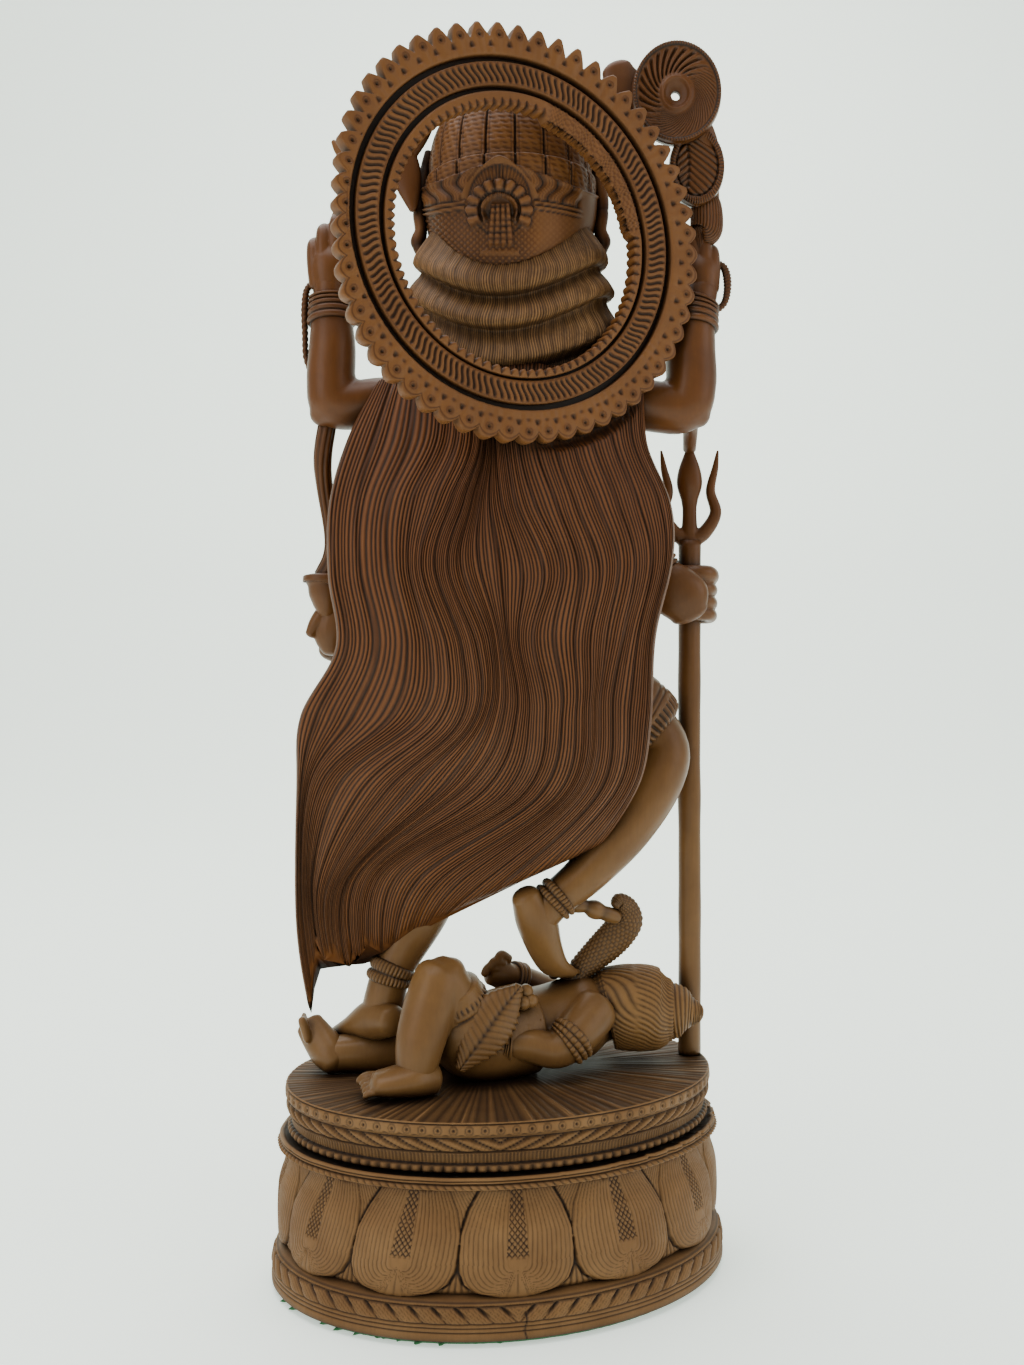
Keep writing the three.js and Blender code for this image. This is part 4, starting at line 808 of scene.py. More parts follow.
def hair_cape():
    """The long wavy hair: strands of uneven width over broad locks, closed round its front and sides."""
    widths = np.random.default_rng(5).uniform(0.65, 1.35, STRAND_COUNT)
    edges = np.concatenate([[0], np.cumsum(widths) / widths.sum()])
    shares = np.arange(STRAND_POINTS) / STRAND_POINTS
    across = np.append((edges[:-1, None] + np.diff(edges)[:, None] * shares).reshape(-1), 1)
    profile = np.append(np.tile(np.sin(math.pi * shares) ** 0.7, STRAND_COUNT), 0)
    random = np.random.default_rng(7)

    def uneven(low, high, group, last):
        """A random value for each group of strands, at every point of their width."""
        drawn = random.uniform(low, high, STRAND_COUNT // group)
        return np.append(np.repeat(drawn, group * STRAND_POINTS), last)

    lift = uneven(0.6, 1.25, 1, 1)
    tips = uneven(0, 0.02, 1, 0) + uneven(0, 0.035, 4, 0)
    rows = np.linspace(0, 1, HAIR_ROWS)[:, None]
    along = rows * (1 - (0.014 * (1 - profile) + tips) * rows ** 3)
    wide = across + 0 * along
    wavering = wide + 0.0025 * np.sin(along * 22 + wide * 40) * wide * (1 - wide) * 4
    x, z, back, thickness = hair_places(unit(wavering), along)
    locks = 0
    for count, sway, start in LOCKS:
        locks = locks + np.sin(TURN * count * wide + sway * np.sin(3 * along + start) + start)
    deep = unit(np.sin(TURN * 19 * wide + 2.2 * np.sin(4 * along + 2))) ** 8
    swell = 0.35 * np.sin(along * 20 - 1.2 + 2.5 * wide)
    raised = STRAND_RELIEF * (profile * lift - 0.5) + LOCK_RELIEF * locks / 3 + 0.25 * swell - 0.12 * deep
    back_points = stacked(x, back - raised * np.clip(thickness / 3, 0.25, 1), z)
    relief = unit(0.04 + 1.1 * profile ** 1.2 * (0.7 + 0.3 * lift)) * (1 - 0.3 * deep)

    side_shares = np.linspace(0, 1, SIDE_STRANDS * STRAND_POINTS + 1)[1:-1]
    side_profile = np.abs(np.sin(math.pi * side_shares * SIDE_STRANDS)) ** 0.7
    front_places = np.broadcast_arrays(np.linspace(1, 0, 13), rows)
    front_x, front_z, front_back, front_thickness = hair_places(*front_places)
    front_points = stacked(front_x, front_back + front_thickness, front_z)

    def side_wall(start, end, outward):
        share = side_shares[None, :, None]
        wall = start[:, None, :] * (1 - share) + end[:, None, :] * share
        depth = np.minimum(np.abs(end - start)[:, 1:2] / 3, 1)
        wall[..., 0] += outward * (0.9 * np.sin(math.pi * side_shares) * depth + 0.14 * side_profile)
        return wall

    right = side_wall(back_points[:, -1], front_points[:, 0], 0.35)
    left = side_wall(front_points[:, -1], back_points[:, 0], -0.35)
    ring = np.concatenate([back_points, right, front_points, left], axis=1)
    side_relief = unit(0.1 + side_profile) + 0 * rows
    all_relief = np.concatenate([relief, side_relief, 0.7 + 0 * front_x, side_relief], axis=1)
    part = (clear_of_halo(to_world(ring)), tube_faces(*ring.shape[:2]), all_relief)
    mesh_piece("hair_cape", part, HAIR_WOOD, FIGURE, keep=0.5)


# Crown, and the rolls of hair below it: up, half width, half depth, forward shift and dip at the back
HEAD_ACROSS = 0.9
HEAD_BACK = math.radians(-97)
BACK_REACH = math.radians(100)
ROLL_ROWS = [
    (85.9, 7.6, 5.2, -1.9, 4.9), (84.6, 8.4, 5.8, -2.2, 4.6), (83, 9.4, 6.4, -2.6, 4.3),
    (82, 9.7, 6.7, -2.7, 4.3), (81.5, 9.4, 6.3, -2.7, 4.3), (81.2, 8.9, 5.4, -2.7, 4.2),
    (80.7, 9, 5.5, -2.8, 4.3), (79.7, 9.8, 6.2, -3, 4.3), (78.7, 10.3, 6.7, -3.1, 4.4),
    (78.2, 10, 6.3, -3.2, 4.4), (77.9, 9.5, 5.4, -3.2, 4.3), (77.1, 9.7, 5.5, -3.2, 4.1),
    (75.5, 10.6, 6.2, -3.4, 4), (74.3, 10.9, 6.6, -3.4, 3.9), (73.6, 10.2, 5.9, -3.3, 3.7),
    (73, 9.8, 5.2, -3.3, 3.5), (72.2, 10.2, 5.6, -3.3, 3.3), (70.8, 10.9, 6.4, -3.3, 3.1),
    (69.6, 10.2, 5.4, -3.2, 3),
]
CROWN_ROWS = [
    (85.4, 7.7, 7.4, 0.2, 5.2), (85.4, 8.2, 8.1, 0.2, 5.2), (85.9, 8.4, 8.4, 0.2, 4.6),
    (87, 8.6, 8.6, 0.2, 2.6), (88.6, 8.75, 8.8, 0.2, 0.9), (90.4, 8.8, 8.9, 0.2, 0),
    (90.9, 8.65, 8.6, 0.2, 0), (91.1, 8.4, 8, 0.2, 0), (92.6, 8.35, 7.9, 0.2, 0), (94.4, 8.1, 7.6, 0.2, 0),
    (96.2, 7.5, 6.9, 0.2, 0), (97.8, 6.3, 5.8, 0.2, 0), (99, 4.6, 4.2, 0.2, 0), (99.8, 2.6, 2.4, 0.2, 0),
    (100.2, 0.8, 0.8, 0.2, 0),
]
# A side ornament, as across from the head's middle, forward, up, half width and half depth
SIDE_ORNAMENT = [
    (9.1, -0.6, 83.4, 0.4, 0.6), (9.5, -0.6, 84.6, 0.75, 0.8), (9.2, -0.5, 86, 0.55, 0.7),
    (9.4, -0.4, 88, 0.7, 0.8), (9.2, -0.3, 90, 0.65, 0.8), (8.9, -0.2, 92, 0.6, 0.7),
    (8.4, -0.1, 94, 0.4, 0.5),
]
CROWN_PLATE_COUNT = 18
# Where someone behind the figure looks from, in millimetres: how far off, how far across and how high
VIEW_DISTANCE = 524
VIEW_ACROSS = 3.9
VIEW_UP = 150.6
CROWN_DISTANCE = 491
# The medallion's centre, the arch and the petals, in millimetres as seen from there
MEDALLION_CENTRE = (-0.5, 323.1)
ARCH_RISE = 16.5
ARCH_HALF = 14
MEDALLION_RADIUS = 11.9
MEDALLION_PETALS = 16
MEDALLION_REACH = 12.2
ROLL_STRANDS = 230


def head_form(name, rows, row_count, back_count, front_count, material, carve):
    """A closed form round the head, with most of its points behind.

    Carve gives the relief, in shares, and how light each point's colour is: dark for patina and painted
    shade in the cuts.
    """
    read = smooth(rows, np.linspace(0, len(rows) - 1, row_count))[:, None, :]
    behind = np.linspace(-BACK_REACH, BACK_REACH, back_count, endpoint=False)
    before = np.linspace(BACK_REACH, TURN - BACK_REACH, front_count, endpoint=False)
    turn = np.concatenate([behind, before])
    up = read[..., 0] - read[..., 4] * np.clip(np.cos(turn), 0, None) ** 2
    x = HEAD_ACROSS + read[..., 1] * np.cos(HEAD_BACK + turn)
    y = read[..., 3] + read[..., 2] * np.sin(HEAD_BACK + turn)
    out, relief = carve(turn, x, y, up)
    points = stacked(x + out * np.cos(HEAD_BACK + turn), y + out * np.sin(HEAD_BACK + turn), up)
    mesh_piece(name, (to_world(points), tube_faces(*points.shape[:2]), relief), material, FIGURE, keep=0.24)


def hair_rolls():
    """Rolls of fine upright strands under the crown."""
    def carve(turn, x, y, up):
        lean = 0.16 * np.sin(turn) * (84 - up) + 0.12 * np.sin(up * 1.3 + turn * 3)
        place = turn / TURN * ROLL_STRANDS + 4 * lean + 0.4 * wander(turn * 11, 41)
        strand = waves(place) ** 1.1
        broad = waves(place / 5.3 + 0.3 * lean)
        return 0.15 * (strand - 0.5) + 0.1 * broad, unit(1.05 * strand * (0.7 + 0.3 * broad))

    head_form("hair_rolls", ROLL_ROWS, 120, 720, 110, ROLL_WOOD, carve)


def crown_plates(turn, up):
    """Upright plates parted by dark grooves, with rows of worn nicks."""
    place = turn / TURN * CROWN_PLATE_COUNT
    from_groove = np.abs(place - np.round(place - 0.5) - 0.5)
    groove = 1 - step(from_groove, 0.015, 0.05)
    border = bump(from_groove, 0.13, 0.05)
    nicks = waves(up * 1.9) ** 2 * waves(place * 3 + 0.25 * np.floor(up * 1.9)) ** 2
    swell = 0.12 * (1 - groove) * np.sqrt(unit(from_groove * 2))
    out = swell - 0.28 * groove - 0.1 * nicks - 0.05 * border
    return out, 1 - 0.95 * groove - 0.5 * nicks - 0.3 * border


def seen_from_behind(x, y, up):
    """Millimetres across and up from the medallion's centre, as the crown shows to someone behind it."""
    near = CROWN_DISTANCE / (VIEW_DISTANCE + y * SHARE)
    across = (x * SHARE - VIEW_ACROSS) * near + VIEW_ACROSS
    height = (up * SHARE - VIEW_UP) * near + VIEW_UP
    return across - MEDALLION_CENTRE[0], height - MEDALLION_CENTRE[1]


def medallion(across, height):
    """A lotus of petals round a beaded ring, over a column of square beads. Height, darkness and cover."""
    radius = np.hypot(across, height)
    around = np.arctan2(across, height)
    upper = step(np.cos(around), -0.62, -0.45)
    lobes = waves_round(around, MEDALLION_PETALS)
    tip = MEDALLION_RADIUS * (0.9 + 0.1 * np.sqrt(lobes))
    petals = (1 - step(radius, tip - 0.5, tip + 0.1)) * step(radius, 7.2, 7.6) * upper
    ring = bump(radius, 6.1, 0.95) * upper
    dots = waves_round(around, 26) * bump(radius, 6.1, 0.6) * upper
    half = 3.5 - 0.09 * height
    column = 1 - step(np.abs(across - 0.4), half - 0.1, half + 0.2)
    column = column * within(height, -12.6, -12.2, 2.2, 2.8)
    squares = (waves((across - 0.4) / half * 2 + 0.5) * waves(height / 2.35)) ** 0.45
    inner = (1 - step(radius, 4.9, 5.2)) * upper
    out = petals * (0.1 + 0.38 * lobes ** 0.6) + 0.36 * ring + 0.14 * dots - 0.1 * inner
    dark = petals * (1 - lobes) ** 1.3 + bump(radius, 7.3, 0.35) * upper
    dark = dark + ring * (1 - dots) * 0.3 + 0.5 * inner
    out = out * (1 - column) + column * (0.05 + 0.4 * squares)
    dark = dark * (1 - column) + column * (1 - squares)
    rim = bump(radius, tip + 0.35, 0.5) * upper * (1 - column)
    return out, unit(dark + 0.8 * rim), np.maximum(petals, column)


def crown():
    """The crown: upright plates over a diadem with an arch, wings, a lotus medallion and a hatched panel."""
    def carve(turn, x, y, up):
        across, height = seen_from_behind(x, y, up)
        behind = np.cos(turn) > 0
        across = np.where(behind, across, 60)
        aside = np.abs(across)
        arch = 4 + ARCH_RISE * unit(1 - (aside / ARCH_HALF) ** 1.35) ** 0.7
        wing_top = 19.4 - 0.38 * np.minimum(aside, 36)
        in_arch = (aside < ARCH_HALF) & (height < arch)
        from_arch = np.hypot(across / ARCH_HALF, (height - 4) / ARCH_RISE)
        top = np.where((aside < ARCH_HALF) & behind, np.maximum(arch, wing_top), wing_top)
        on_diadem = 1 - step(height, top - 0.3, top + 0.3)

        line = 2.9 - 0.0046 * np.minimum(aside, 40) ** 2
        inward = 1 - step(aside, 27, 30.5)
        above_arch_foot = in_arch * step(height, 4, 6)
        arch_band = bump(from_arch, 0.92, 0.12) * above_arch_foot
        arch_rays = waves(np.arctan2(across, height + 6) * 16) * above_arch_foot * (from_arch < 0.8)
        wing = on_diadem * step(height, line + 1.6, line + 2.2) * (1 - in_arch) * inward
        curl = aside / 5.4 + 0.35 * np.sin((height - line) * 0.55)
        leaves = waves(curl)
        leaf_lines = waves(curl * 5)
        lip = bump(height, top - 0.9, 0.9) * on_diadem
        beside = (aside > MEDALLION_REACH) * inward
        fillets = (bump(height, line + 1, 0.75) + bump(height, line - 0.7, 0.75)) * beside
        gaps = sum(bump(height, line + level, 0.4) for level in (0.15, 1.9, -1.6)) * beside

        panel = step(line - height, 1.7, 2.2) * on_diadem
        slant = waves((across + height) / 2.3) * waves((across - height) / 2.3)
        hatch = (1 - slant) * panel * (1 - 0.7 * step(across, 6, 16)) * inward

        out = on_diadem * 0.2 + 0.18 * lip + 0.26 * fillets - 0.12 * gaps
        out = out + 0.22 * arch_band - 0.08 * arch_rays - 0.16 * hatch
        out = out + wing * (0.3 * leaves - 0.08 * (1 - leaf_lines))
        dark = gaps + 0.6 * hatch + wing * (0.9 * (1 - leaves) ** 2 + 0.35 * (1 - leaf_lines))
        dark = dark + 0.45 * arch_rays + 0.6 * bump(from_arch, 0.78, 0.05) * in_arch
        dark = dark + bump(height, top + 0.5, 0.5) * behind

        raised, cut, cover = medallion(across, height)
        foot = bump(height, -15.2, 2) * (aside < 7)
        out = out * (1 - cover) + raised + 0.25 * cover + 0.12 * foot
        clean_and_lit = 1 - unit(dark * (1 - cover) * (1 - foot) + cut)
        plate_out, plate_clean_and_lit = crown_plates(turn, up)
        off = 1 - on_diadem
        return on_diadem * out + off * plate_out, on_diadem * clean_and_lit + off * plate_clean_and_lit

    head_form("crown", CROWN_ROWS, 250, 460, 70, HALO_WOOD, carve)


def side_ornaments():
    """Beaded ornaments that hang from the crown over the ears."""
    def beaded(along, angles):
        bead = waves(along * 3) ** 0.7
        return 0.2 * (bead - 0.5), 0.25 + 0.75 * bead

    sides = [[(HEAD_ACROSS + side * row[0], *row[1:]) for row in SIDE_ORNAMENT] for side in (-1, 1)]
    many("side_ornaments", [limb(rows, sides=40, steps=14, carve=beaded) for rows in sides], HALO_WOOD)


# Limbs, through rows of across, forward, up, half width and half depth. Four numbers make a round one.
FORWARD = (0, 1, 0)
UPWARD = (0, 0, 1)
CAP_RINGS = 5


def limb(rows, sides=28, steps=7, facing=FORWARD, start=0, end=None, grow=0.0, round_ends=0.6, carve=None):
    """A closed round limb between two of its rows, with rounded ends, as world points, faces and relief."""
    rows = np.array([(*row, row[3])[:5] for row in rows], float)
    last = len(rows) - 1 if end is None else end
    places = np.linspace(start, last, max(2, round((last - start) * steps) + 1))
    read = smooth(rows, places)
    centre, half = read[:, :3], read[:, 3:]
    ahead = smooth(rows[:, :3], places + 0.05) - smooth(rows[:, :3], places - 0.05)
    along = ahead / np.linalg.norm(ahead, axis=1, keepdims=True)
    side = np.cross(along, facing)
    side = side / np.linalg.norm(side, axis=1, keepdims=True)
    front = np.cross(side, along)
    tilt = np.linspace(0, math.pi / 2, CAP_RINGS + 2)[1:-1, None]

    def cap(index, sign):
        """Rings that round off one end."""
        size = half[index].mean() * round_ends * sign
        middle = centre[index] + np.sin(tilt) * size * along[index]
        rings = (middle, side[index] + 0 * tilt, front[index] + 0 * tilt, np.cos(tilt) * half[index])
        return [ring[::sign] for ring in rings]

    if round_ends > 0:
        joins = zip(cap(0, -1), (centre, side, front, half), cap(-1, 1))
        centre, side, front, half = [np.concatenate(join) for join in joins]
    angles = full_turn(sides)
    extra, relief = carve(np.linspace(0, 1, len(centre))[:, None], angles) if carve else (0, 1)
    wide = (half[:, :1] + grow + extra) * np.cos(angles)
    deep = (half[:, 1:] + grow + extra) * np.sin(angles)
    points = centre[:, None] + side[:, None] * wide[..., None] + front[:, None] * deep[..., None]
    return to_world(points), tube_faces(len(centre), sides), np.broadcast_to(relief, points.shape[:2])


def ball_points(half_sizes, sides):
    """Points of a closed oval ball round the origin."""
    tilt = np.linspace(0, math.pi, sides // 2 + 1)[1:-1, None]
    angles = full_turn(sides)
    shape = stacked(np.sin(tilt) * np.cos(angles), np.sin(tilt) * np.sin(angles), np.cos(tilt))
    return np.array(half_sizes) * shape


def ball(centre, half_sizes, sides=20):
    """A closed oval ball, as world points, faces and relief."""
    points = np.array(centre) + ball_points(half_sizes, sides)
    return to_world(points), tube_faces(*points.shape[:2]), np.ones(points.shape[:2])


def joined(parts):
    """Separate closed parts as one part."""
    starts = np.cumsum([0] + [part[2].size for part in parts]).tolist()
    points = np.concatenate([part[0].reshape(-1, 3) for part in parts])
    faces = [[corner + start for corner in face] for start, part in zip(starts, parts) for face in part[1]]
    return points, faces, np.concatenate([part[2].reshape(-1) for part in parts])


def many(name, parts, material, keep=0.3):
    """Separate closed parts of the figure in one mesh."""
    mesh_piece(name, joined(parts), material, FIGURE, keep)


def one_skin(name, parts, voxel, smoothing, node=FIGURE, lying=False, keep=0.35):
    """Closed overlapping parts joined under one smooth skin, as if carved from one block."""
    points, faces, _ = joined(parts)
    mesh = bpy.data.meshes.new(name)
    mesh.from_pydata((points * MM).tolist(), [], faces)
    rough = add_object(f"{name}_rough", mesh)
    blend = rough.modifiers.new("blend", "REMESH")
    blend.mode = "VOXEL"
    blend.voxel_size = voxel * MM
    soften = rough.modifiers.new("soften", "SMOOTH")
    soften.factor = 0.5
    soften.iterations = smoothing
    done = with_modifiers(rough)
    bpy.data.objects.remove(rough)
    places = vertex_places(done) / MM
    if lying:
        places = above_platform(places)
    skin = (places, [list(face.vertices) for face in done.polygons], 1)
    mesh_piece(name, skin, FLESH_WOOD, node, keep)


# Standing figure
TORSO = [
    (1, -0.8, 34.2, 3.5, 2.9), (1, -0.8, 37.8, 5.9, 5), (0.7, -1.1, 43.9, 5.5, 4.7),
    (0.5, -1.1, 50.6, 3.9, 3.3), (0.5, -1.3, 56.1, 4.5, 3.8), (0.5, -1.6, 62.2, 6.3, 4.7),
    (0.5, -1.8, 66.7, 6.7, 3.9), (0.6, -1.7, 69.7, 4.7, 2.8), (0.8, -1.2, 72.7, 2.3, 2.2),
    (0.9, -0.6, 76, 2.1),
]
BREASTS = [
    [(-2.2, 1, 62.6, 2.9), (-2.4, 2.6, 62.3, 2.5), (-2.5, 3.9, 62, 1.2)],
    [(3.2, 1, 62.6, 2.9), (3.4, 2.6, 62.3, 2.5), (3.5, 3.9, 62, 1.2)],
]
STANDING_LEG = [
    (-2.7, 0, 38.8, 4.1, 4.5), (-3.6, 2.1, 31.5, 3.9, 4.2), (-5.3, 3.2, 23.2, 2.7, 3.3),
    (-8, 0.5, 16.6, 2.8, 3.2), (-11, -1.1, 10.7, 2.1, 2.2), (-12, -1.3, 7.2, 2.1, 2.2),
    (-12.5, -1.1, 4.9, 2.1, 2),
]
STANDING_FOOT = [
    (-11, -3.7, 5.8, 1.6), (-12.9, -1.6, 5.4, 2, 2.1), (-14.9, 0.5, 4.2, 2.2, 1.3),
    (-16.4, 1.9, 3.3, 2.1, 0.9),
]
BENT_LEG = [
    (6, 0.5, 38.8, 4.3, 4.7), (12.3, 2.1, 36.5, 4, 4.2), (16.5, 1.6, 33.1, 2.9, 3.4),
    (15.6, 0.4, 29.4, 3, 3.3), (12.4, -0.8, 24.6, 2.8, 3), (8.7, -1.8, 20.4, 2.2, 2.5),
    (5.5, -2.6, 17.8, 1.9, 2.1), (3.7, -2.8, 16, 2, 2.1),
]
BENT_FOOT = [
    (2.4, -3.9, 18.2, 1.5), (3.4, -3, 16, 2.1), (4.3, -1.8, 12.9, 1.9, 1.7), (5.2, -0.8, 10.8, 1.9, 1.2),
    (6.2, 0.4, 9.9, 1.9, 0.8),
]
RAISED_LEFT_ARM = [
    (-5.6, -1.4, 67.8, 2.4), (-8.6, -1.3, 68.2, 2.6), (-12.3, -2.1, 68, 2.5, 2.7),
    (-16.6, -2.9, 67.6, 2.4, 2.6), (-17.2, -2.9, 69.8, 2.45, 2.5), (-17.1, -2.6, 73.6, 2.35, 2.4),
    (-17.3, -2.1, 77.8, 1.9, 2), (-17.4, -2.1, 79.9, 1.7, 1.8),
]
RAISED_RIGHT_ARM = [
    (6.8, -1.4, 67.8, 2.4), (9.8, -1.3, 68.2, 2.6), (14, -2.1, 67.8, 2.6, 2.7),
    (18.2, -2.6, 67.3, 2.5, 2.6), (19.1, -2.6, 69.6, 2.55, 2.7), (19.1, -2.4, 73.2, 2.5, 2.6),
    (19.6, -1.8, 77.4, 2.05, 2.1), (20.2, -1.6, 79.5, 1.8, 1.9),
]
ELBOW_CORNERS = [(-18, -2.9, 66.8), (19.7, -2.6, 66.7)]
LOWER_LEFT_ARM = [
    (-5.6, 0.6, 67.2, 2.4, 2.2), (-8.1, 1.1, 65.8, 2.5, 2.3), (-11.5, 2.1, 61, 2.3),
    (-14.3, 2.6, 55, 2, 2.1), (-15.9, 2.1, 50, 1.6, 1.8), (-16.6, 1.2, 47.6, 1.7, 1.6),
]
LOWER_RIGHT_ARM = [
    (6.8, 0.6, 67.2, 2.4, 2.2), (9.3, 1.1, 65.8, 2.5, 2.3), (12.5, 2.1, 61, 2.3), (15, 2.8, 55.4, 2, 2.1),
    (16.6, 3.2, 51.6, 1.7, 1.8), (17.8, 3.4, 49.6, 2.1, 2),
]
# Hands, as limbs of their own: the palm first, then fingers or knuckles, then the thumb
RAISED_LEFT_HAND = [
    [(-17.3, -2.1, 79.4, 1.7), (-17.4, -2.2, 81.6, 2.1, 1.8), (-17.4, -1.9, 83, 2, 1.4),
     (-17.2, -1.3, 83.8, 1.6, 1)],
    [(-18.7, -2.3, 79.8, 0.8, 0.9), (-18.9, -2.5, 82, 0.8, 0.9), (-19, -2, 83.9, 0.75),
     (-18.8, -0.6, 84.2, 0.7), (-18.7, 0.4, 83, 0.6)],
    [(-17.9, -3, 82, 0.8, 0.7), (-18, -2.3, 85, 0.8), (-17.9, -0.9, 85.5, 0.75), (-17.7, 0.4, 84.2, 0.6)],
    [(-16.8, -2.8, 82.6, 0.8, 0.7), (-16.7, -2.1, 86.1, 0.8), (-16.6, -0.7, 86.6, 0.75),
     (-16.4, 0.6, 85.2, 0.6)],
    [(-15.6, -1.6, 83.6, 0.8), (-15.6, -1.4, 86.6, 0.8), (-15.5, -0.3, 87, 0.7), (-15.4, 0.6, 85.8, 0.6)],
    [(-15.8, -1.2, 81, 0.9), (-14.8, -0.4, 83, 0.8), (-15.2, 0.8, 84.6, 0.65, 0.6), (-16.2, 1.4, 85, 0.5)],
]
RAISED_RIGHT_HAND = [
    [(20.1, -1.6, 79.2, 1.8), (20.1, -1.5, 81.2, 2.1, 1.8), (20, -1.3, 82.4, 2, 1.4),
     (20, -0.9, 83, 1.6, 1)],
    [(21.3, -1.6, 79.6, 0.8, 0.9), (21.4, -1.8, 81.6, 0.8, 0.9), (21.4, -1.3, 83.4, 0.75),
     (21.3, 0, 83.8, 0.7), (21.2, 0.8, 82.6, 0.6)],
    [(20.5, -2.3, 81.6, 0.8, 0.7), (20.5, -1.6, 84.3, 0.8), (20.4, -0.2, 84.8, 0.75),
     (20.3, 0.9, 83.4, 0.6)],
    [(19.4, -2.1, 81.8, 0.8, 0.7), (19.4, -1.5, 84.8, 0.8), (19.3, -0.1, 85.3, 0.75), (19.3, 1, 84, 0.6)],
    [(18.8, -1.2, 82, 0.8), (18.7, -1, 84.6, 0.8), (18.7, 0.1, 85.2, 0.7), (18.7, 1, 84, 0.6)],
    [(18.6, -0.8, 80.2, 0.9), (17.8, 0.2, 82, 0.8), (18.2, 1.2, 83.4, 0.65, 0.6), (19.2, 1.7, 84, 0.5)],
]
LOWER_LEFT_HAND = [
    [(-16.2, 1.6, 48.6, 1.6), (-16.9, 0.6, 46.9, 2.2, 1.8), (-17.4, 0.2, 44.8, 2.1, 1.6),
     (-17.2, 0.2, 43.2, 1.5, 1.2)],
    [(-17.6, 0, 47.6, 1), (-18.9, -0.3, 45.9, 0.85), (-19.6, -0.4, 44.6, 0.6, 0.65)],
    [(-17.8, 0.8, 44.4, 0.8, 0.9), (-18.4, 1.6, 43, 0.7, 0.8), (-17.8, 2.6, 42.4, 0.6)],
    [(-17, 1.6, 44, 0.8), (-17.2, 2.8, 42.9, 0.7), (-16.4, 3.4, 43, 0.6)],
]
FIST_PALM = [
    (16.8, 3.2, 51.2, 1.7), (17.9, 2.7, 49.9, 2.5, 2), (18.9, 2.4, 48.4, 2.9, 1.7),
    (19.6, 2.6, 47, 2.1, 1.3),
]
FIST_THUMB = [
    (17.6, 4, 51, 1), (18.2, 6.2, 51.9, 0.85), (19.6, 7.4, 52.2, 0.75, 0.7), (21, 7.2, 52.2, 0.6, 0.55),
]
# Height and radius of each finger round the shaft, and the angles that it passes
FIST_FINGERS = [(50.9, 0.95), (49.4, 0.78), (48, 0.78), (46.7, 0.74)]
FIST_ANGLES = (-128, -78, -32, 14, 56, 92)
FIST_REACH = 2.05
TRIDENT_PLACE = (20, 5.3)


def fist_fingers():
    """Fingers that close round the trident's shaft, one above another, and the thumb over the first."""
    fingers = []
    for up, radius in FIST_FINGERS:
        rows = []
        for degrees in FIST_ANGLES:
            angle = math.radians(degrees)
            reach = FIST_REACH + 0.25 * math.cos(angle * 2)
            x = TRIDENT_PLACE[0] + reach * math.cos(angle)
            y = TRIDENT_PLACE[1] + reach * math.sin(angle)
            rows.append((x, y, up + 0.2 * (degrees < 0), radius))
        fingers.append(limb(rows, sides=16, steps=5, facing=UPWARD))
    return fingers + [limb(FIST_THUMB, sides=16, facing=UPWARD)]


def foot(name, rows, facing, voxel, edge, places, length, radius, heading, drop, lying=False):
    """A foot with five toes in a row across its end, the big one first."""
    parts = [limb(rows, sides=32, facing=facing)]
    edge = np.array(edge)
    ahead = np.array(heading) / np.linalg.norm(heading)
    for index, share in enumerate(places):
        size = radius * (1.25 if index == 0 else 1 - 0.07 * index)
        reach = length * (1.1 if index == 0 else 1 - 0.1 * index)
        start = edge[0] + (edge[1] - edge[0]) * share
        end = start + ahead * reach + np.array([0, 0, drop])
        middle = (start + end) / 2 + np.array([0, 0, size * 0.25])
        back = start - ahead * reach * 0.7
        path = [(*back, size, size * 0.8), (*middle, size, size * 0.85), (*end, size * 0.9, size * 0.75)]
        parts.append(limb(path, sides=16, steps=5, facing=UPWARD, round_ends=0.8))
    one_skin(name, parts, voxel, 3, lying=lying)


def standing_body():
    """The goddess's smooth body with its arms and legs."""
    parts = [limb(TORSO, sides=48)]
    parts += [limb(rows, facing=UPWARD, round_ends=0.9) for rows in BREASTS]
    parts += [limb(rows, sides=36) for rows in (STANDING_LEG, BENT_LEG)]
    arms = (RAISED_LEFT_ARM, RAISED_RIGHT_ARM, LOWER_LEFT_ARM, LOWER_RIGHT_ARM)
    parts += [limb(rows, sides=32) for rows in arms]
    parts += [ball(place, (1.4, 1.5, 1.4), sides=24) for place in ELBOW_CORNERS]
    one_skin("standing_body", parts, 1.0, 5, keep=0.16)


def standing_feet():
    """The trodden foot with toes over the chest, and the raised heel with toes below."""
    spread = (0.05, 0.35, 0.58, 0.8, 1)
    foot("standing_foot", STANDING_FOOT, UPWARD, 0.6, [(-17.9, 1.1, 2.9), (-15.9, 3.3, 2.9)], spread,
         1.7, 0.52, (-1.0, 1.0, -0.2), -0.5)
    foot("bent_foot", BENT_FOOT, UPWARD, 0.6, [(4.9, 1.2, 9.7), (7.8, 0.6, 9.7)], spread, 1.4, 0.5,
         (0.25, 0.9, -0.3), -0.3)


def standing_hands():
    names = ("raised_left_hand", "raised_right_hand", "lower_left_hand")
    for name, hand in zip(names, (RAISED_LEFT_HAND, RAISED_RIGHT_HAND, LOWER_LEFT_HAND)):
        one_skin(name, [limb(rows, sides=24) for rows in hand], 0.45, 3)
    one_skin("fist", [limb(FIST_PALM), *fist_fingers()], 0.45, 3)


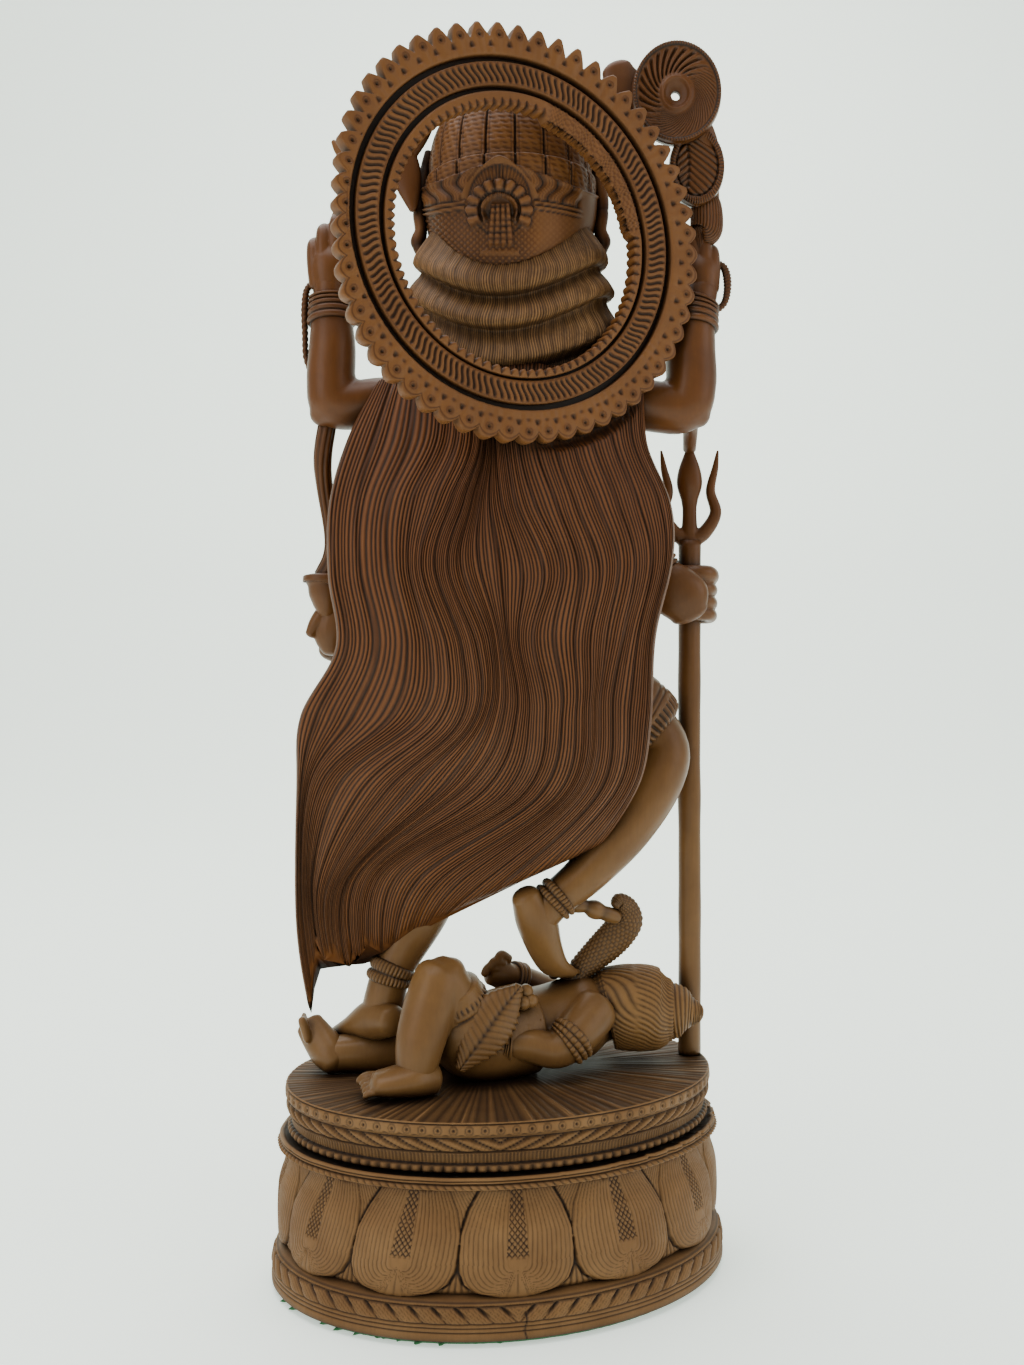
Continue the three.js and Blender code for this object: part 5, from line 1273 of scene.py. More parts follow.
def ringed_band(name, rows, start, end, rings, beads=0, lift=0.35):
    """A cuff round a limb, with plain rings or rows of beads."""
    def carve(along, angles):
        bead = waves_round(angles, beads) ** 0.6 if beads else 1 + 0 * angles
        raised = waves(along * rings + 0.5) ** 0.6 * (0.35 + 0.65 * bead)
        return lift * (raised - 0.15), unit(0.1 + raised * 1.1)

    steps = rings * 10 / (end - start)
    part = limb(rows, max(96, beads * 6), steps, start=start, end=end, grow=0.12, round_ends=0, carve=carve)
    mesh_piece(name, part, FLESH_WOOD, FIGURE, keep=0.5)


def bangles():
    ringed_band("left_bangles", RAISED_LEFT_ARM, 5.5, 6.38, 5)
    ringed_band("right_bangles", RAISED_RIGHT_ARM, 5.5, 6.38, 5)
    ringed_band("standing_anklet", STANDING_LEG, 3.95, 4.4, 2, beads=36)
    ringed_band("bent_anklet", BENT_LEG, 5.8, 6.25, 2, beads=32)
    ringed_band("lower_left_bangles", LOWER_LEFT_ARM, 3.7, 4.3, 3)
    ringed_band("lower_right_bangles", LOWER_RIGHT_ARM, 3.7, 4.2, 3)


# Face, ornaments and dress of the standing figure. The face and the skirt have rows of up, half width,
# half depth and forward shift.
FACE_ROWS = [
    (73, 1, 0.8, 3.8), (73.4, 2, 2, 3.4), (74.2, 3, 3, 2.9), (76, 4.2, 4.2, 2.2), (78.5, 4.9, 4.9, 1.8),
    (81, 5.3, 5.3, 1.6), (84, 5.5, 5.5, 1.4), (87, 5.3, 5.2, 1.2), (88, 5.1, 4.8, 1.2),
]
FACE_ACROSS = 0.9
EYE = (2, 81.4)
NOSE_TIP = 79.2
LIPS = 77
CHIN = 74.7
NECKLINE = [(-4.4, 0.4, 69.2), (-3.4, 3, 66), (0.5, 4.4, 63.4), (4.4, 3, 66), (5.6, 0.4, 69.2)]
GARLAND = [
    (-6, 1.2, 66.6), (-5.4, 4.2, 58), (-3.8, 5.2, 46), (0.6, 6.8, 38.4), (5, 5.2, 46), (6.4, 4.2, 58),
    (7, 1.2, 66.6),
]
GARLAND_HEADS = 17
NECKLACE_BEADS = 25
EAR_ORNAMENTS = [(-6, 1.8, 78.4), (7.8, 1.8, 78.4)]
EAR_PETALS = 8
SKIRT = [
    (31.2, 6.5, 5.2, 0.2), (31.6, 6.9, 5.5, 0.2), (34, 7.3, 6, 0.1), (38.4, 7.1, 6, -0.4),
    (42.2, 6.6, 5.6, -0.8), (43.4, 6.4, 5.4, -0.9), (43.8, 5.8, 4.9, -0.9),
]
SKIRT_ACROSS = 0.8
SKIRT_PLEATS = 46
THIGH_CLOTH = [
    (6.6, 0.8, 38.6, 4.8, 5.2), (11.6, 1.9, 37.1, 4.9, 5.1), (14.6, 2, 35.6, 4.4, 4.8),
    (16, 1.9, 34.6, 3.8, 4.2),
]


def upright_form(name, rows, row_count, columns, across, material, carve):
    """A closed form round an upright axis. Carve moves each point outward and forward, in shares."""
    read = smooth(rows, np.linspace(0, len(rows) - 1, row_count))[:, None, :]
    angles = full_turn(columns)
    up = read[..., 0] + 0 * angles
    out, ahead, relief = carve(angles, up, read[..., 1] * np.cos(angles))
    x = across + (read[..., 1] + out) * np.cos(angles)
    y = read[..., 3] + (read[..., 2] + out) * np.sin(angles) + ahead
    part = (to_world(stacked(x, y, up)), tube_faces(row_count, columns), relief)
    mesh_piece(name, part, material, FIGURE, keep=0.3)


def goddess_face():
    """A calm, even face: brows, half closed eyes, straight nose, closed lips and a round chin."""
    def carve(angles, up, across):
        front = step(np.sin(angles), 0.1, 0.5)
        beside = np.abs(across)
        from_eye = beside - EYE[0]
        above_eye = up - EYE[1]
        in_eye = (from_eye / 1.25) ** 2 + (above_eye / 0.62) ** 2
        socket = spot(from_eye, 1.7) * spot(above_eye, 1.1)
        eyeball = np.sqrt(unit(1 - in_eye))
        lid = spot(above_eye + 0.28 - 0.16 * (from_eye / 1.2) ** 2, 0.07) * step(in_eye, 1.15, 0.8)
        brow_line = 83.3 - 0.16 * (beside - 2.1) ** 2
        brow = spot(up - brow_line, 0.3) * step(beside, 4.2, 3.4) * step(beside, 0.4, 0.9)
        along_nose = np.clip((83 - up) / (83 - NOSE_TIP), 0, 1.1)
        nose = spot(beside, 0.5 + 0.4 * along_nose ** 2) * (0.35 + 1.35 * along_nose ** 1.3)
        nose = nose * step(up, 84, 82.6) * step(up, NOSE_TIP - 0.75, NOSE_TIP - 0.15)
        wings = 0.6 * spot(beside - 0.8, 0.4) * spot(up - NOSE_TIP + 0.15, 0.45)
        upper_line = LIPS + 0.4 - 0.12 * beside + 0.1 * spot(beside, 0.3)
        lips = 0.42 * spot(up - upper_line, 0.34) + 0.46 * spot(up - LIPS + 0.42, 0.36)
        lips = lips * step(beside, 1.75, 1.1)
        parting = spot(up - LIPS - 0.03 - 0.05 * beside ** 2, 0.09) * step(beside, 1.7, 1.4)
        chin = 0.55 * spot(beside, 1.3) * spot(up - CHIN, 0.9)
        cheeks = 0.3 * spot(beside - 2.7, 1.3) * spot(up - 79, 1.6)
        ahead = -0.55 * socket + 0.5 * eyeball - 0.12 * lid + 0.22 * brow + nose + wings
        ahead = ahead + lips - 0.14 * parting + chin + cheeks
        return 0, front * ahead, 1 - front * unit(0.8 * lid + 0.7 * parting)

    upright_form("face", FACE_ROWS, 190, 220, FACE_ACROSS, FLESH_WOOD, carve)


def small_head(centre, size):
    """One head of the garland: a ball with sunken eyes, a nose and a mouth line."""
    shape = ball_points((1, 1, 1.2), 22)
    across, ahead, up = np.moveaxis(shape, -1, 0)
    before = ahead > 0
    eyes = spot(np.abs(across) - 0.38, 0.22) * spot(up - 0.18, 0.18) * before
    nose = spot(across, 0.16) * spot(up + 0.1, 0.25) * before
    mouth = spot(across, 0.35) * spot(up + 0.55, 0.09) * before
    moved = stacked(across, ahead - 0.16 * eyes + 0.2 * nose - 0.12 * mouth, up)
    relief = 1 - unit(0.9 * eyes + 0.8 * mouth)
    return to_world(np.array(centre) + size * moved), tube_faces(*shape.shape[:2]), relief


def along_line(line, inset, count):
    """Places spread along a line of points, drawn in at both ends by so many of its rows."""
    return smooth(line, np.linspace(inset, len(line) - 1 - inset, count))


def ornaments():
    """Necklace, garland of small heads and the flower-shaped ear ornaments."""
    def string(line, half):
        def twisted(along, angles):
            twist = waves(along * 60 + angles / TURN)
            return 0.12 * (twist - 0.5), 0.3 + 0.7 * twist

        return limb([(*place, half) for place in line], sides=12, steps=40, facing=UPWARD, carve=twisted)

    parts = [string(GARLAND, 0.4)]
    parts += [small_head((x, y + 0.1, z), 0.95) for x, y, z in along_line(GARLAND, 0.15, GARLAND_HEADS)]
    parts.append(string(NECKLINE, 0.45))
    beads = along_line(NECKLINE, 0.1, NECKLACE_BEADS)
    parts += [ball((x, y + 0.25, z - 0.35), (0.45, 0.45, 0.55), sides=12) for x, y, z in beads]
    many("garland", parts, FLESH_WOOD)
    flowers = []
    for x, y, z in EAR_ORNAMENTS:
        flowers.append(ball((x, y, z), (0.9, 1.1, 1.1), sides=24))
        for angle in full_turn(EAR_PETALS)[0]:
            petal = (x, y + 1.05 * math.cos(angle), z + 1.05 * math.sin(angle))
            flowers.append(ball(petal, (0.6, 0.5, 0.5), sides=12))
        flowers.append(ball((x, y, z - 2), (0.5, 0.5, 0.8), sides=14))
    many("ear_ornaments", flowers, HALO_WOOD)


def skirt():
    """Pleated cloth round the hips with a belt, and its end over the raised thigh with a notched hem."""
    def pleats(angles, up, across):
        fold = waves_round(angles, SKIRT_PLEATS, 0.15 * np.sin(up)) ** 0.7
        low = 1 - step(up, 41, 42.2)
        belt = bump(up, 42.6, 0.9) * (0.6 + 0.4 * waves_round(angles, 90))
        out = 0.28 * (fold - 0.6) * low + 0.3 * belt + 0.12 * bump(up, 32.2, 0.35)
        return out, 0, unit(0.15 + fold + (1 - low)) * (1 - 0.5 * bump(up, 41.7, 0.25))

    def hem(along, angles):
        line = bump(along, 0.62, 0.025) + bump(along, 0.68, 0.02)
        slots = waves_round(angles, 34, 0.5) ** 3 * step(along, 0.74, 0.78) * step(along, 1, 0.97)
        return -0.1 * line - 0.35 * slots, 1 - unit(0.7 * line + 0.95 * slots)

    upright_form("skirt", SKIRT, 90, 460, SKIRT_ACROSS, HAIR_WOOD, pleats)
    thigh = limb(THIGH_CLOTH, sides=204, steps=26, round_ends=0.25, carve=hem)
    mesh_piece("thigh_cloth", thigh, FLESH_WOOD, FIGURE, keep=0.5)


# What the hands hold
SWORD_GRIP = [(-18.6, -1.6, 79.5, 0.7), (-17.4, -1.4, 84, 0.8), (-15.9, -1.2, 89, 0.8)]
SWORD_GUARD = [
    (-17.2, -1.2, 94.8, 0.25), (-16.6, -1.2, 94.1, 0.6, 0.5), (-15.5, -1.2, 92.8, 0.8, 0.6),
    (-14, -1.2, 91, 0.7, 0.5),
]
SWORD_BLADE = [
    (-15.8, -1.2, 89.2, 1, 0.5), (-13.6, -1.2, 91.2, 1.6, 0.6), (-11, -1.4, 93.6, 2.1, 0.6),
    (-8.6, -1.8, 97, 1.9, 0.6), (-8, -2.2, 100, 0.6, 0.4),
]
SWORD_HOOK = [
    (-11.4, -1.4, 95, 1.7, 0.5), (-10, -1.5, 92, 1.7, 0.55), (-9.3, -1.6, 89.4, 1.1, 0.5),
    (-9, -1.6, 87.6, 0.4, 0.3),
]
# The disc and the leaf, as centre, half sizes across, through and up, and the size of the hole in shares
DISC = ((17.5, -3.7, 98.6), (4.5, 0.62, 5.15), 0.1)
DISC_HOLE = (-0.03, -0.07)
DISC_FLUTES = 26
LEAF = ((19.6, -2.9, 91.4), (2.8, 0.5, 3.9), 0.004)
DISC_LOBE = [(13.8, -2.2, 98, 1.5, 0.8), (12.3, -2.2, 100.2, 2.0, 0.8), (11.7, -2.2, 101.6, 1.6, 0.6)]
DISC_STEM = [
    (20.6, -1.2, 84.6, 1), (21, -1.5, 87.4, 1.1, 1), (21, -2, 91, 1, 0.8), (20.6, -2.8, 94, 1.2, 0.8),
    (19.4, -3.4, 96.4, 1.2, 0.7),
]
BLOCK = [
    (20.1, -1.7, 83.4, 0.8), (20.2, -1.8, 85.1, 0.9), (20.7, -1.9, 85.4, 1.5, 1.3),
    (20.8, -1.9, 86.4, 1.6, 1.35), (20.7, -2, 88, 1.5, 1.2), (20.6, -2, 88.3, 1.2, 1),
]
CORDS = [
    [(-19.2, -2, 80.2, 0.28, 0.3), (-19.8, -2, 79.3, 0.32, 0.35), (-20, -2, 77.4, 0.34, 0.35),
     (-19.95, -2, 75, 0.3, 0.35), (-19.85, -2, 72.6, 0.28, 0.3), (-19.2, -2, 70.8, 0.28, 0.3)],
    [(21.7, -1.4, 82.4, 0.3), (22.6, -1.4, 81.9, 0.36, 0.35), (22.95, -1.4, 80.8, 0.4, 0.35),
     (22.95, -1.4, 79.4, 0.36, 0.35), (22.6, -1.4, 78.2, 0.32, 0.3), (21.7, -1.4, 77.4, 0.3)],
]
BOWL = [
    (-17.6, -0.3, 46.2, 0.7), (-17.8, -0.4, 47, 1.2), (-18, -0.4, 48.6, 1.75), (-18.1, -0.4, 49.7, 1.85),
    (-18.1, -0.4, 49.9, 2.3, 2.2), (-18.1, -0.4, 50.5, 2.3, 2.2),
]
STREAMER = [
    (-17.6, -2.1, 66.2, 0.9), (-18.2, -1.6, 62.6, 0.9), (-18.1, -1, 59.6, 0.8), (-17.4, -0.6, 55, 0.8),
    (-17.4, -0.5, 52.6, 0.9), (-18, -0.4, 50.6, 1.2, 1),
]
ELBOW_STRUT = [(19.2, -1.4, 67.6, 0.9), (19.8, 3, 66.4, 0.8), (20, 5.3, 64.6, 0.7)]


def sword():
    """Curved sword in the raised left hand; its broad end shows through the halo."""
    def wrap(along, angles):
        ring = waves(along * 16)
        return 0.14 * (ring - 0.5), 0.3 + 0.7 * ring

    blade = [limb(rows, sides=36, steps=12, round_ends=0.3) for rows in (SWORD_BLADE, SWORD_HOOK)]
    one_skin("sword_blade", blade, 0.5, 2)
    hilt = [limb(SWORD_GRIP, steps=60, carve=wrap), limb(SWORD_GUARD, sides=24, steps=12)]
    many("sword_hilt", hilt, HALO_WOOD)


def flat_oval(name, centre, half_sizes, hole_reach, hole, columns, rows, carve):
    """An upright oval plate that faces the back, with a small hole and carving on both faces."""
    angles = full_turn(columns)
    rise = np.linspace(0, 1, rows)[:, None]
    plate, reliefs = [], []
    for side, share in ((-1, rise), (1, rise[::-1])):
        reach = hole_reach + (1 - hole_reach) * share
        x = reach * np.cos(angles) + hole[0] * (1 - reach)
        z = reach * np.sin(angles) + hole[1] * (1 - reach)
        out, relief = carve(angles, reach, x, z)
        edge = np.sqrt(unit(1 - unit((reach - 0.96) / 0.04) ** 2))
        depth = side * (half_sizes[1] * edge + out * step(reach, 0.995, 0.97))
        plate.append(stacked(half_sizes[0] * x, depth, half_sizes[2] * z))
        reliefs.append(relief)
    points = to_world(np.array(centre) + np.concatenate(plate))
    part = (points, tube_faces(2 * rows, columns, ring=True), np.concatenate(reliefs))
    mesh_piece(name, part, FLESH_WOOD, FIGURE, keep=0.25)


def emblem():
    """What the raised right hand holds: a fluted disc with a hole over a ribbed leaf and a ribbed block."""
    def fluted(angles, reach, x, z):
        coarse = step(np.cos(angles - math.radians(130)), -0.35, 0.45)
        swirl = 2.8 * reach - 1.1 * reach ** 2
        wide = waves_round(angles, DISC_FLUTES, swirl / 7 * DISC_FLUTES)
        fine = waves_round(angles, DISC_FLUTES * 2, swirl / 2 * DISC_FLUTES)
        cut = coarse * (1 - wide) ** 1.2 + 0.45 * (1 - coarse) * (1 - fine)
        cut = cut * within(reach, 0.36, 0.46, 0.82, 0.9)
        rim = step(reach, 0.9, 0.925)
        rope = waves_round(angles, 96)
        hollow = bump(reach, 0.31, 0.075) - step(reach, 0.27, 0.12)
        out = 0.3 * hollow - 0.4 * cut + rim * (0.12 + 0.12 * rope) + 0.12 * np.sin(math.pi * reach)
        return out, 1 - unit(0.85 * cut + 0.7 * rim * (1 - rope) + bump(reach, 0.9, 0.03))

    def leafy(angles, reach, x, z):
        rim = step(reach, 0.76, 0.8)
        ribs = waves_round(angles, 64)
        spine = x + 0.28 + 0.25 * z ** 2
        leaflets = waves(z * 5.5 + np.abs(spine) * 3.2)
        line = spot(spine, 0.05)
        groove = bump(reach, 0.74, 0.04)
        out = rim * (0.22 + 0.13 * ribs) + (1 - rim) * (0.2 * leaflets - 0.15 * line) - 0.15 * groove
        dark = rim * (1 - ribs) * 0.8 + (1 - rim) * ((1 - leaflets) * 0.8 + 0.5 * line) + groove
        return out, 1 - unit(dark)

    def ribbed(along, angles):
        rib = waves_round(angles, 30, 0.6 * along) ** 0.7
        return 0.14 * (rib - 0.5) * bump(along, 0.5, 0.5) ** 0.3, 0.15 + 0.85 * rib

    flat_oval("emblem_disc", *DISC, DISC_HOLE, 384, 80, fluted)
    flat_oval("emblem_leaf", *LEAF, (0, 0), 256, 60, leafy)
    parts = [limb(DISC_STEM, steps=8), limb(BLOCK, sides=240, steps=14, round_ends=0.1, carve=ribbed)]
    parts.append(limb(DISC_LOBE, steps=8, round_ends=0.9))
    many("emblem_block", parts, FLESH_WOOD, keep=0.2)


def small_things():
    """Cord ends at the bangles, the bowl with its hanging strand, and the strut to the trident's tip."""
    def plied(along, angles):
        ply = waves_round(angles, 2, along * 22)
        return 0.1 * (ply - 0.5), 0.3 + 0.7 * ply

    def ribbed(along, angles):
        rib = waves_round(angles, 9, 1.5 * along)
        return 0.12 * (rib - 0.5), 0.2 + 0.8 * rib

    parts = [limb(rows, sides=20, steps=24, carve=plied) for rows in CORDS]
    parts.append(limb(STREAMER, sides=72, steps=14, round_ends=0.3, carve=ribbed))
    parts.append(limb(BOWL, sides=40, steps=8, round_ends=0.15))
    parts.append(limb(ELBOW_STRUT, sides=16, steps=8, facing=UPWARD))
    many("cords_and_bowl", parts, FLESH_WOOD)


# Trident, in millimetres. Prong rows are reach to the side, rise and width, in shares.
TRIDENT_LENGTH = 248
PRONG_LENGTH = 41
PRONG_SPREAD = 11.5
PRONG_FOOT = TRIDENT_LENGTH - PRONG_LENGTH
SHAFT_RADIUS = 4.7
SHAFT_ROWS = 220
KNIFE_CUT = 124
MIDDLE_PRONG = [
    (0, -0.02, 1), (0, 0.03, 0.95), (0, 0.1, 0.74), (0, 0.3, 0.62), (0, 0.42, 0.72), (0, 0.58, 1.1),
    (0, 0.72, 0.98), (0, 0.88, 0.5), (0, 1, 0.1),
]
SIDE_PRONG = [
    (0, 0.02, 0.6), (0.5, 0.1, 0.62), (0.92, 0.3, 0.52), (0.74, 0.52, 0.42), (0.9, 0.74, 0.3),
    (1, 0.92, 0.12),
]


def prong(rows, side, flat, sides, round_ends):
    """One prong of the trident, bent to a side."""
    path = []
    for reach, rise, width in rows:
        half = SHAFT_RADIUS * width / SHARE
        x = TRIDENT_PLACE[0] + side * reach * PRONG_SPREAD / SHARE
        path.append((x, TRIDENT_PLACE[1], (PRONG_FOOT + PRONG_LENGTH * rise) / SHARE, half, half * flat))
    return limb(path, sides=sides, steps=8, round_ends=round_ends)


def trident():
    """Round shaft with faint knife marks, and three prongs."""
    heights = np.linspace(GAP, PRONG_FOOT + 1, SHAFT_ROWS)[:, None]
    angles = full_turn(48)
    uneven = 0.12 * wander(heights * 0.12, 51) + 0.08 * np.sin(angles * 3 + heights * 0.04)
    notch = -0.35 * spot(heights - KNIFE_CUT, 0.4) * step(np.sin(angles), -0.5, -0.9)
    radius = (SHAFT_RADIUS - 0.15 + uneven + notch) / SHARE
    x = TRIDENT_PLACE[0] + radius * np.cos(angles)
    y = TRIDENT_PLACE[1] + radius * np.sin(angles)
    part = (to_world(stacked(x, y, heights / SHARE)), tube_faces(*radius.shape), 1 + notch)
    mesh_piece("trident_shaft", part, FLESH_WOOD, "trident", keep=0.4)
    prongs = [prong(MIDDLE_PRONG, 0, 0.75, 28, 0.2)]
    prongs += [prong(SIDE_PRONG, side, 0.9, 20, 0.4) for side in (-1, 1)]
    one_skin("trident_head", prongs, 0.45, 2, node="trident")


# Recumbent figure
LYING_TORSO = [
    (-3.2, -2.6, 3, 4, 4.2), (0.3, -1.1, 4.1, 4, 4.4), (4.4, 0.5, 4.7, 3.6, 4.3), (8.6, 1.6, 5, 4.2, 4.6),
    (10.9, 2.1, 4.9, 2.6, 3),
]
LYING_NEAR_LEG = [
    (-2.7, -3.7, 3.3, 3.7, 3.6), (-4.6, -5.4, 7.4, 3, 3.1), (-6, -6.6, 10.4, 2.5),
    (-6.9, -7.6, 8.2, 2.6, 2.7), (-7.8, -8.8, 5, 2.4), (-8.2, -9.4, 2, 1.9, 2),
]
KNEE_CORNERS = [(-7, -7, 11.2), (-5, -6.4, 11.3)]
LYING_NEAR_FOOT = [
    (-6.9, -8.8, 1.5, 1.7), (-8.4, -9.8, 1.7, 2.1, 1.7), (-10.2, -10.3, 1.6, 2.2, 1.45),
    (-11.5, -10.4, 1.5, 2.2, 1.2),
]
LYING_FAR_LEG = [
    (-3.4, 2.1, 2.2, 3.6), (-8.5, 1.1, 1.9, 2.6, 2.9), (-13, -0.5, 1.9, 2.3, 2.6),
    (-16, -1.3, 1.9, 1.9, 2.2), (-17.3, -1.6, 1.6, 1.8, 1.9),
]
LYING_FAR_FOOT = [
    (-16.8, -2.1, 1.3, 1.6, 1.7), (-17.7, -1.6, 2.2, 1.9, 1.7), (-18.9, -1.1, 3.6, 1.7, 1.1),
    (-19.7, -0.7, 4.6, 1.5, 0.7),
]
LYING_NEAR_ARM = [
    (9.4, -1.6, 6.2, 2.4), (7.4, -4, 4.4, 2.2), (5.4, -4.7, 3.1, 1.8, 2), (2.8, -5, 3.7, 1.7, 1.8),
    (0.6, -5.3, 3.8, 1.4, 1.5), (-0.4, -5.5, 4, 1.4, 1.5),
]
LYING_FAR_ARM = [
    (10, 5, 5.6, 2.4), (7.6, 7.2, 4.6, 2.2, 2.1), (4.6, 7, 6.2, 1.8), (1.8, 5.2, 8, 1.5),
    (0.6, 4.2, 8.5, 1.3),
]
LYING_NEAR_HAND = [
    [(0, -5.4, 3.9, 1.4), (-1.6, -5.8, 4.3, 1.8, 1.5), (-2.8, -5.9, 4.5, 1.5, 1.2)],
    [(-2.2, -6.4, 3.6, 0.6), (-3.6, -6.6, 3.7, 0.5), (-4.3, -6.2, 3.9, 0.4)],
    [(-2.3, -6.5, 4.3, 0.6), (-3.8, -6.7, 4.5, 0.5), (-4.6, -6.3, 4.7, 0.4)],
    [(-2.3, -6.3, 5, 0.6), (-3.7, -6.4, 5.3, 0.5), (-4.5, -6, 5.5, 0.4)],
    [(-2, -5.8, 5.6, 0.6), (-3.3, -5.8, 6, 0.5), (-4, -5.4, 6.2, 0.4)],
]
LYING_FAR_HAND = [
    [(1, 4.4, 8.4, 1.3), (-0.2, 3.6, 8.8, 1.5, 1.3), (-1.2, 3, 9, 1.2, 1)],
    [(-0.4, 2.8, 9.6, 0.55), (-1.4, 2.2, 9.8, 0.5), (-1.9, 1.8, 9.2, 0.4)],
    [(0, 3.2, 10.1, 0.55), (-0.8, 2.4, 10.4, 0.5), (-1.3, 2, 9.9, 0.4)],
    [(0.6, 3.8, 10.4, 0.55), (-0.1, 3, 11, 0.5), (-0.6, 2.4, 10.5, 0.4)],
]
LYING_HEAD = [
    (10.4, 2.1, 5.3, 2.6, 2.7), (10.8, 2.1, 5.5, 3.9, 4.1), (12.2, 2.1, 5.7, 4.3, 4.5),
    (14.6, 2.1, 5.7, 4.4, 4.5), (16.2, 2.1, 5.5, 4.1), (17.4, 2, 5.5, 3.2),
]
LYING_BUN = [
    (16.8, 2, 5.4, 2.6), (17.6, 1.9, 5.4, 2.9, 2.8), (18.8, 1.7, 5.4, 2.5), (19.6, 1.6, 5.3, 1.6, 1.7),
]
LYING_KNOB = [(19.2, 1.6, 5.3, 1.4), (20, 1.5, 5.3, 1.3), (20.5, 1.5, 5.2, 0.9)]
LYING_FACE = [(13.6, 4.6, 6.6, 2.4), (13.2, 5.6, 7.2, 2, 2.2), (13, 6.6, 7.6, 1, 1.2)]
LYING_NOSE = [(13.4, 7, 8.8, 0.4), (12.9, 7.4, 8.3, 0.5), (12.6, 7.2, 7.9, 0.5, 0.4)]
LYING_SKIRT = [
    (-5, -5.7, 9.4, 2.9, 3), (-4.2, -5, 7.2, 3.4, 3.6), (-2.9, -4, 4.2, 4.1, 4.2), (0.2, -1.8, 4, 4.6, 4.7),
    (2.2, -0.6, 4.2, 4.6, 4.7),
]
LYING_FOLD = [
    (1.6, -5.5, 9.4, 0.5), (-0.2, -6.7, 7.4, 2.2, 0.8), (-2, -7.8, 5, 2.2, 0.8),
    (-3.9, -8.2, 2.4, 0.5, 0.4),
]
CLOTH_KNOT = [(2.4, -4.6, 8.9), (1.4, -5.2, 8.6), (2.1, -5.2, 7.9), (2.9, -4.8, 8)]
COBRA = [
    (7.4, 1.4, 8.4, 1.1, 1), (8.2, 1.6, 9.8, 1.25, 1), (9.5, 1.8, 11, 1.5, 0.95),
    (10.9, 1.8, 12.3, 1.7, 0.9), (12.1, 1.6, 13.6, 1.75, 0.9), (12.9, 1.2, 15, 1.65, 0.85),
    (12.8, 0.8, 16.3, 1.2, 0.8), (12.1, 0.3, 17.1, 0.75, 0.7), (11.6, -0.1, 16.8, 0.45),
]
COBRA_STRUT = [
    (6.4, -1.5, 17.2, 0.8, 0.7), (8.4, -1, 16.8, 0.75, 0.7), (9.9, -0.5, 16.2, 0.9, 0.75),
    (11.9, 0.4, 15.4, 0.6),
]


def lying_body():
    """The smooth body of the recumbent figure."""
    parts = [limb(LYING_TORSO, sides=44)]
    parts += [limb(rows, sides=36) for rows in (LYING_NEAR_LEG, LYING_FAR_LEG)]
    parts += [limb(rows, sides=32) for rows in (LYING_NEAR_ARM, LYING_FAR_ARM)]
    parts += [ball(place, (1.5, 1.6, 1.4), sides=24) for place in KNEE_CORNERS]
    parts += [limb(LYING_FACE, sides=32, facing=UPWARD), limb(LYING_NOSE, sides=16)]
    one_skin("lying_body", parts, 0.9, 5, lying=True)


def lying_feet_and_hands():
    foot("lying_near_foot", LYING_NEAR_FOOT, UPWARD, 0.5, [(-12.1, -11.9, 1.0), (-12.3, -8.9, 1.6)],
         (1, 0.75, 0.5, 0.25, 0), 1.1, 0.55, (-1.0, -0.1, -0.1), -0.2, lying=True)
    foot("lying_far_foot", LYING_FAR_FOOT, FORWARD, 0.5, [(-19.9, -2.2, 4.2), (-20.3, 0.6, 4.5)],
         (0, 0.3, 0.52, 0.75, 1), 0.9, 0.45, (-0.35, 0, 1.0), 0.3, lying=True)
    for name, hand in (("lying_near_hand", LYING_NEAR_HAND), ("lying_far_hand", LYING_FAR_HAND)):
        one_skin(name, [limb(rows, sides=22) for rows in hand], 0.45, 2)


def lying_jewels():
    ringed_band("lying_armlet", LYING_NEAR_ARM, 1.05, 1.6, 3, beads=22, lift=0.3)
    ringed_band("lying_wristband", LYING_NEAR_ARM, 3.85, 4.5, 3, lift=0.22)
    ringed_band("lying_far_wristband", LYING_FAR_ARM, 2.9, 3.5, 3, lift=0.22)


def lying_parts(name, parts, material):
    """Separate parts of the recumbent figure in one mesh, held clear of the platform."""
    many(name, [(above_platform(points), faces, relief) for points, faces, relief in parts], material)


def lying_hair():
    """Combed hair of the recumbent figure with a beaded band, a bun and a knob."""
    def combed(along, angles):
        band = step(along, 0.04, 0.08) * step(along, 0.3, 0.26)
        beads = waves_round(angles, 40) * waves(along * 26)
        slant = step(along, 0.48, 0.56)
        upright = waves_round(angles, 34, along * 11 + 1.4 * np.sin(angles * 3))
        strand = (1 - slant) * upright + slant * waves_round(angles, 46, along * 9)
        cut = band * (1 - beads) + (1 - band) * (1 - strand)
        return 0.14 * (0.5 - cut) + 0.12 * band, 1 - 0.85 * cut ** 1.5

    def wound(along, angles):
        strand = waves_round(angles, 3, along * 10)
        return 0.13 * (strand - 0.5), 0.15 + 0.85 * strand

    parts = [limb(LYING_HEAD, sides=260, steps=24, round_ends=0.3, carve=combed)]
    parts.append(limb(LYING_BUN, sides=72, steps=30, round_ends=0.3, carve=wound))
    parts.append(limb(LYING_KNOB, sides=48, steps=20, round_ends=0.5, carve=wound))
    lying_parts("lying_hair", parts, HALO_WOOD)


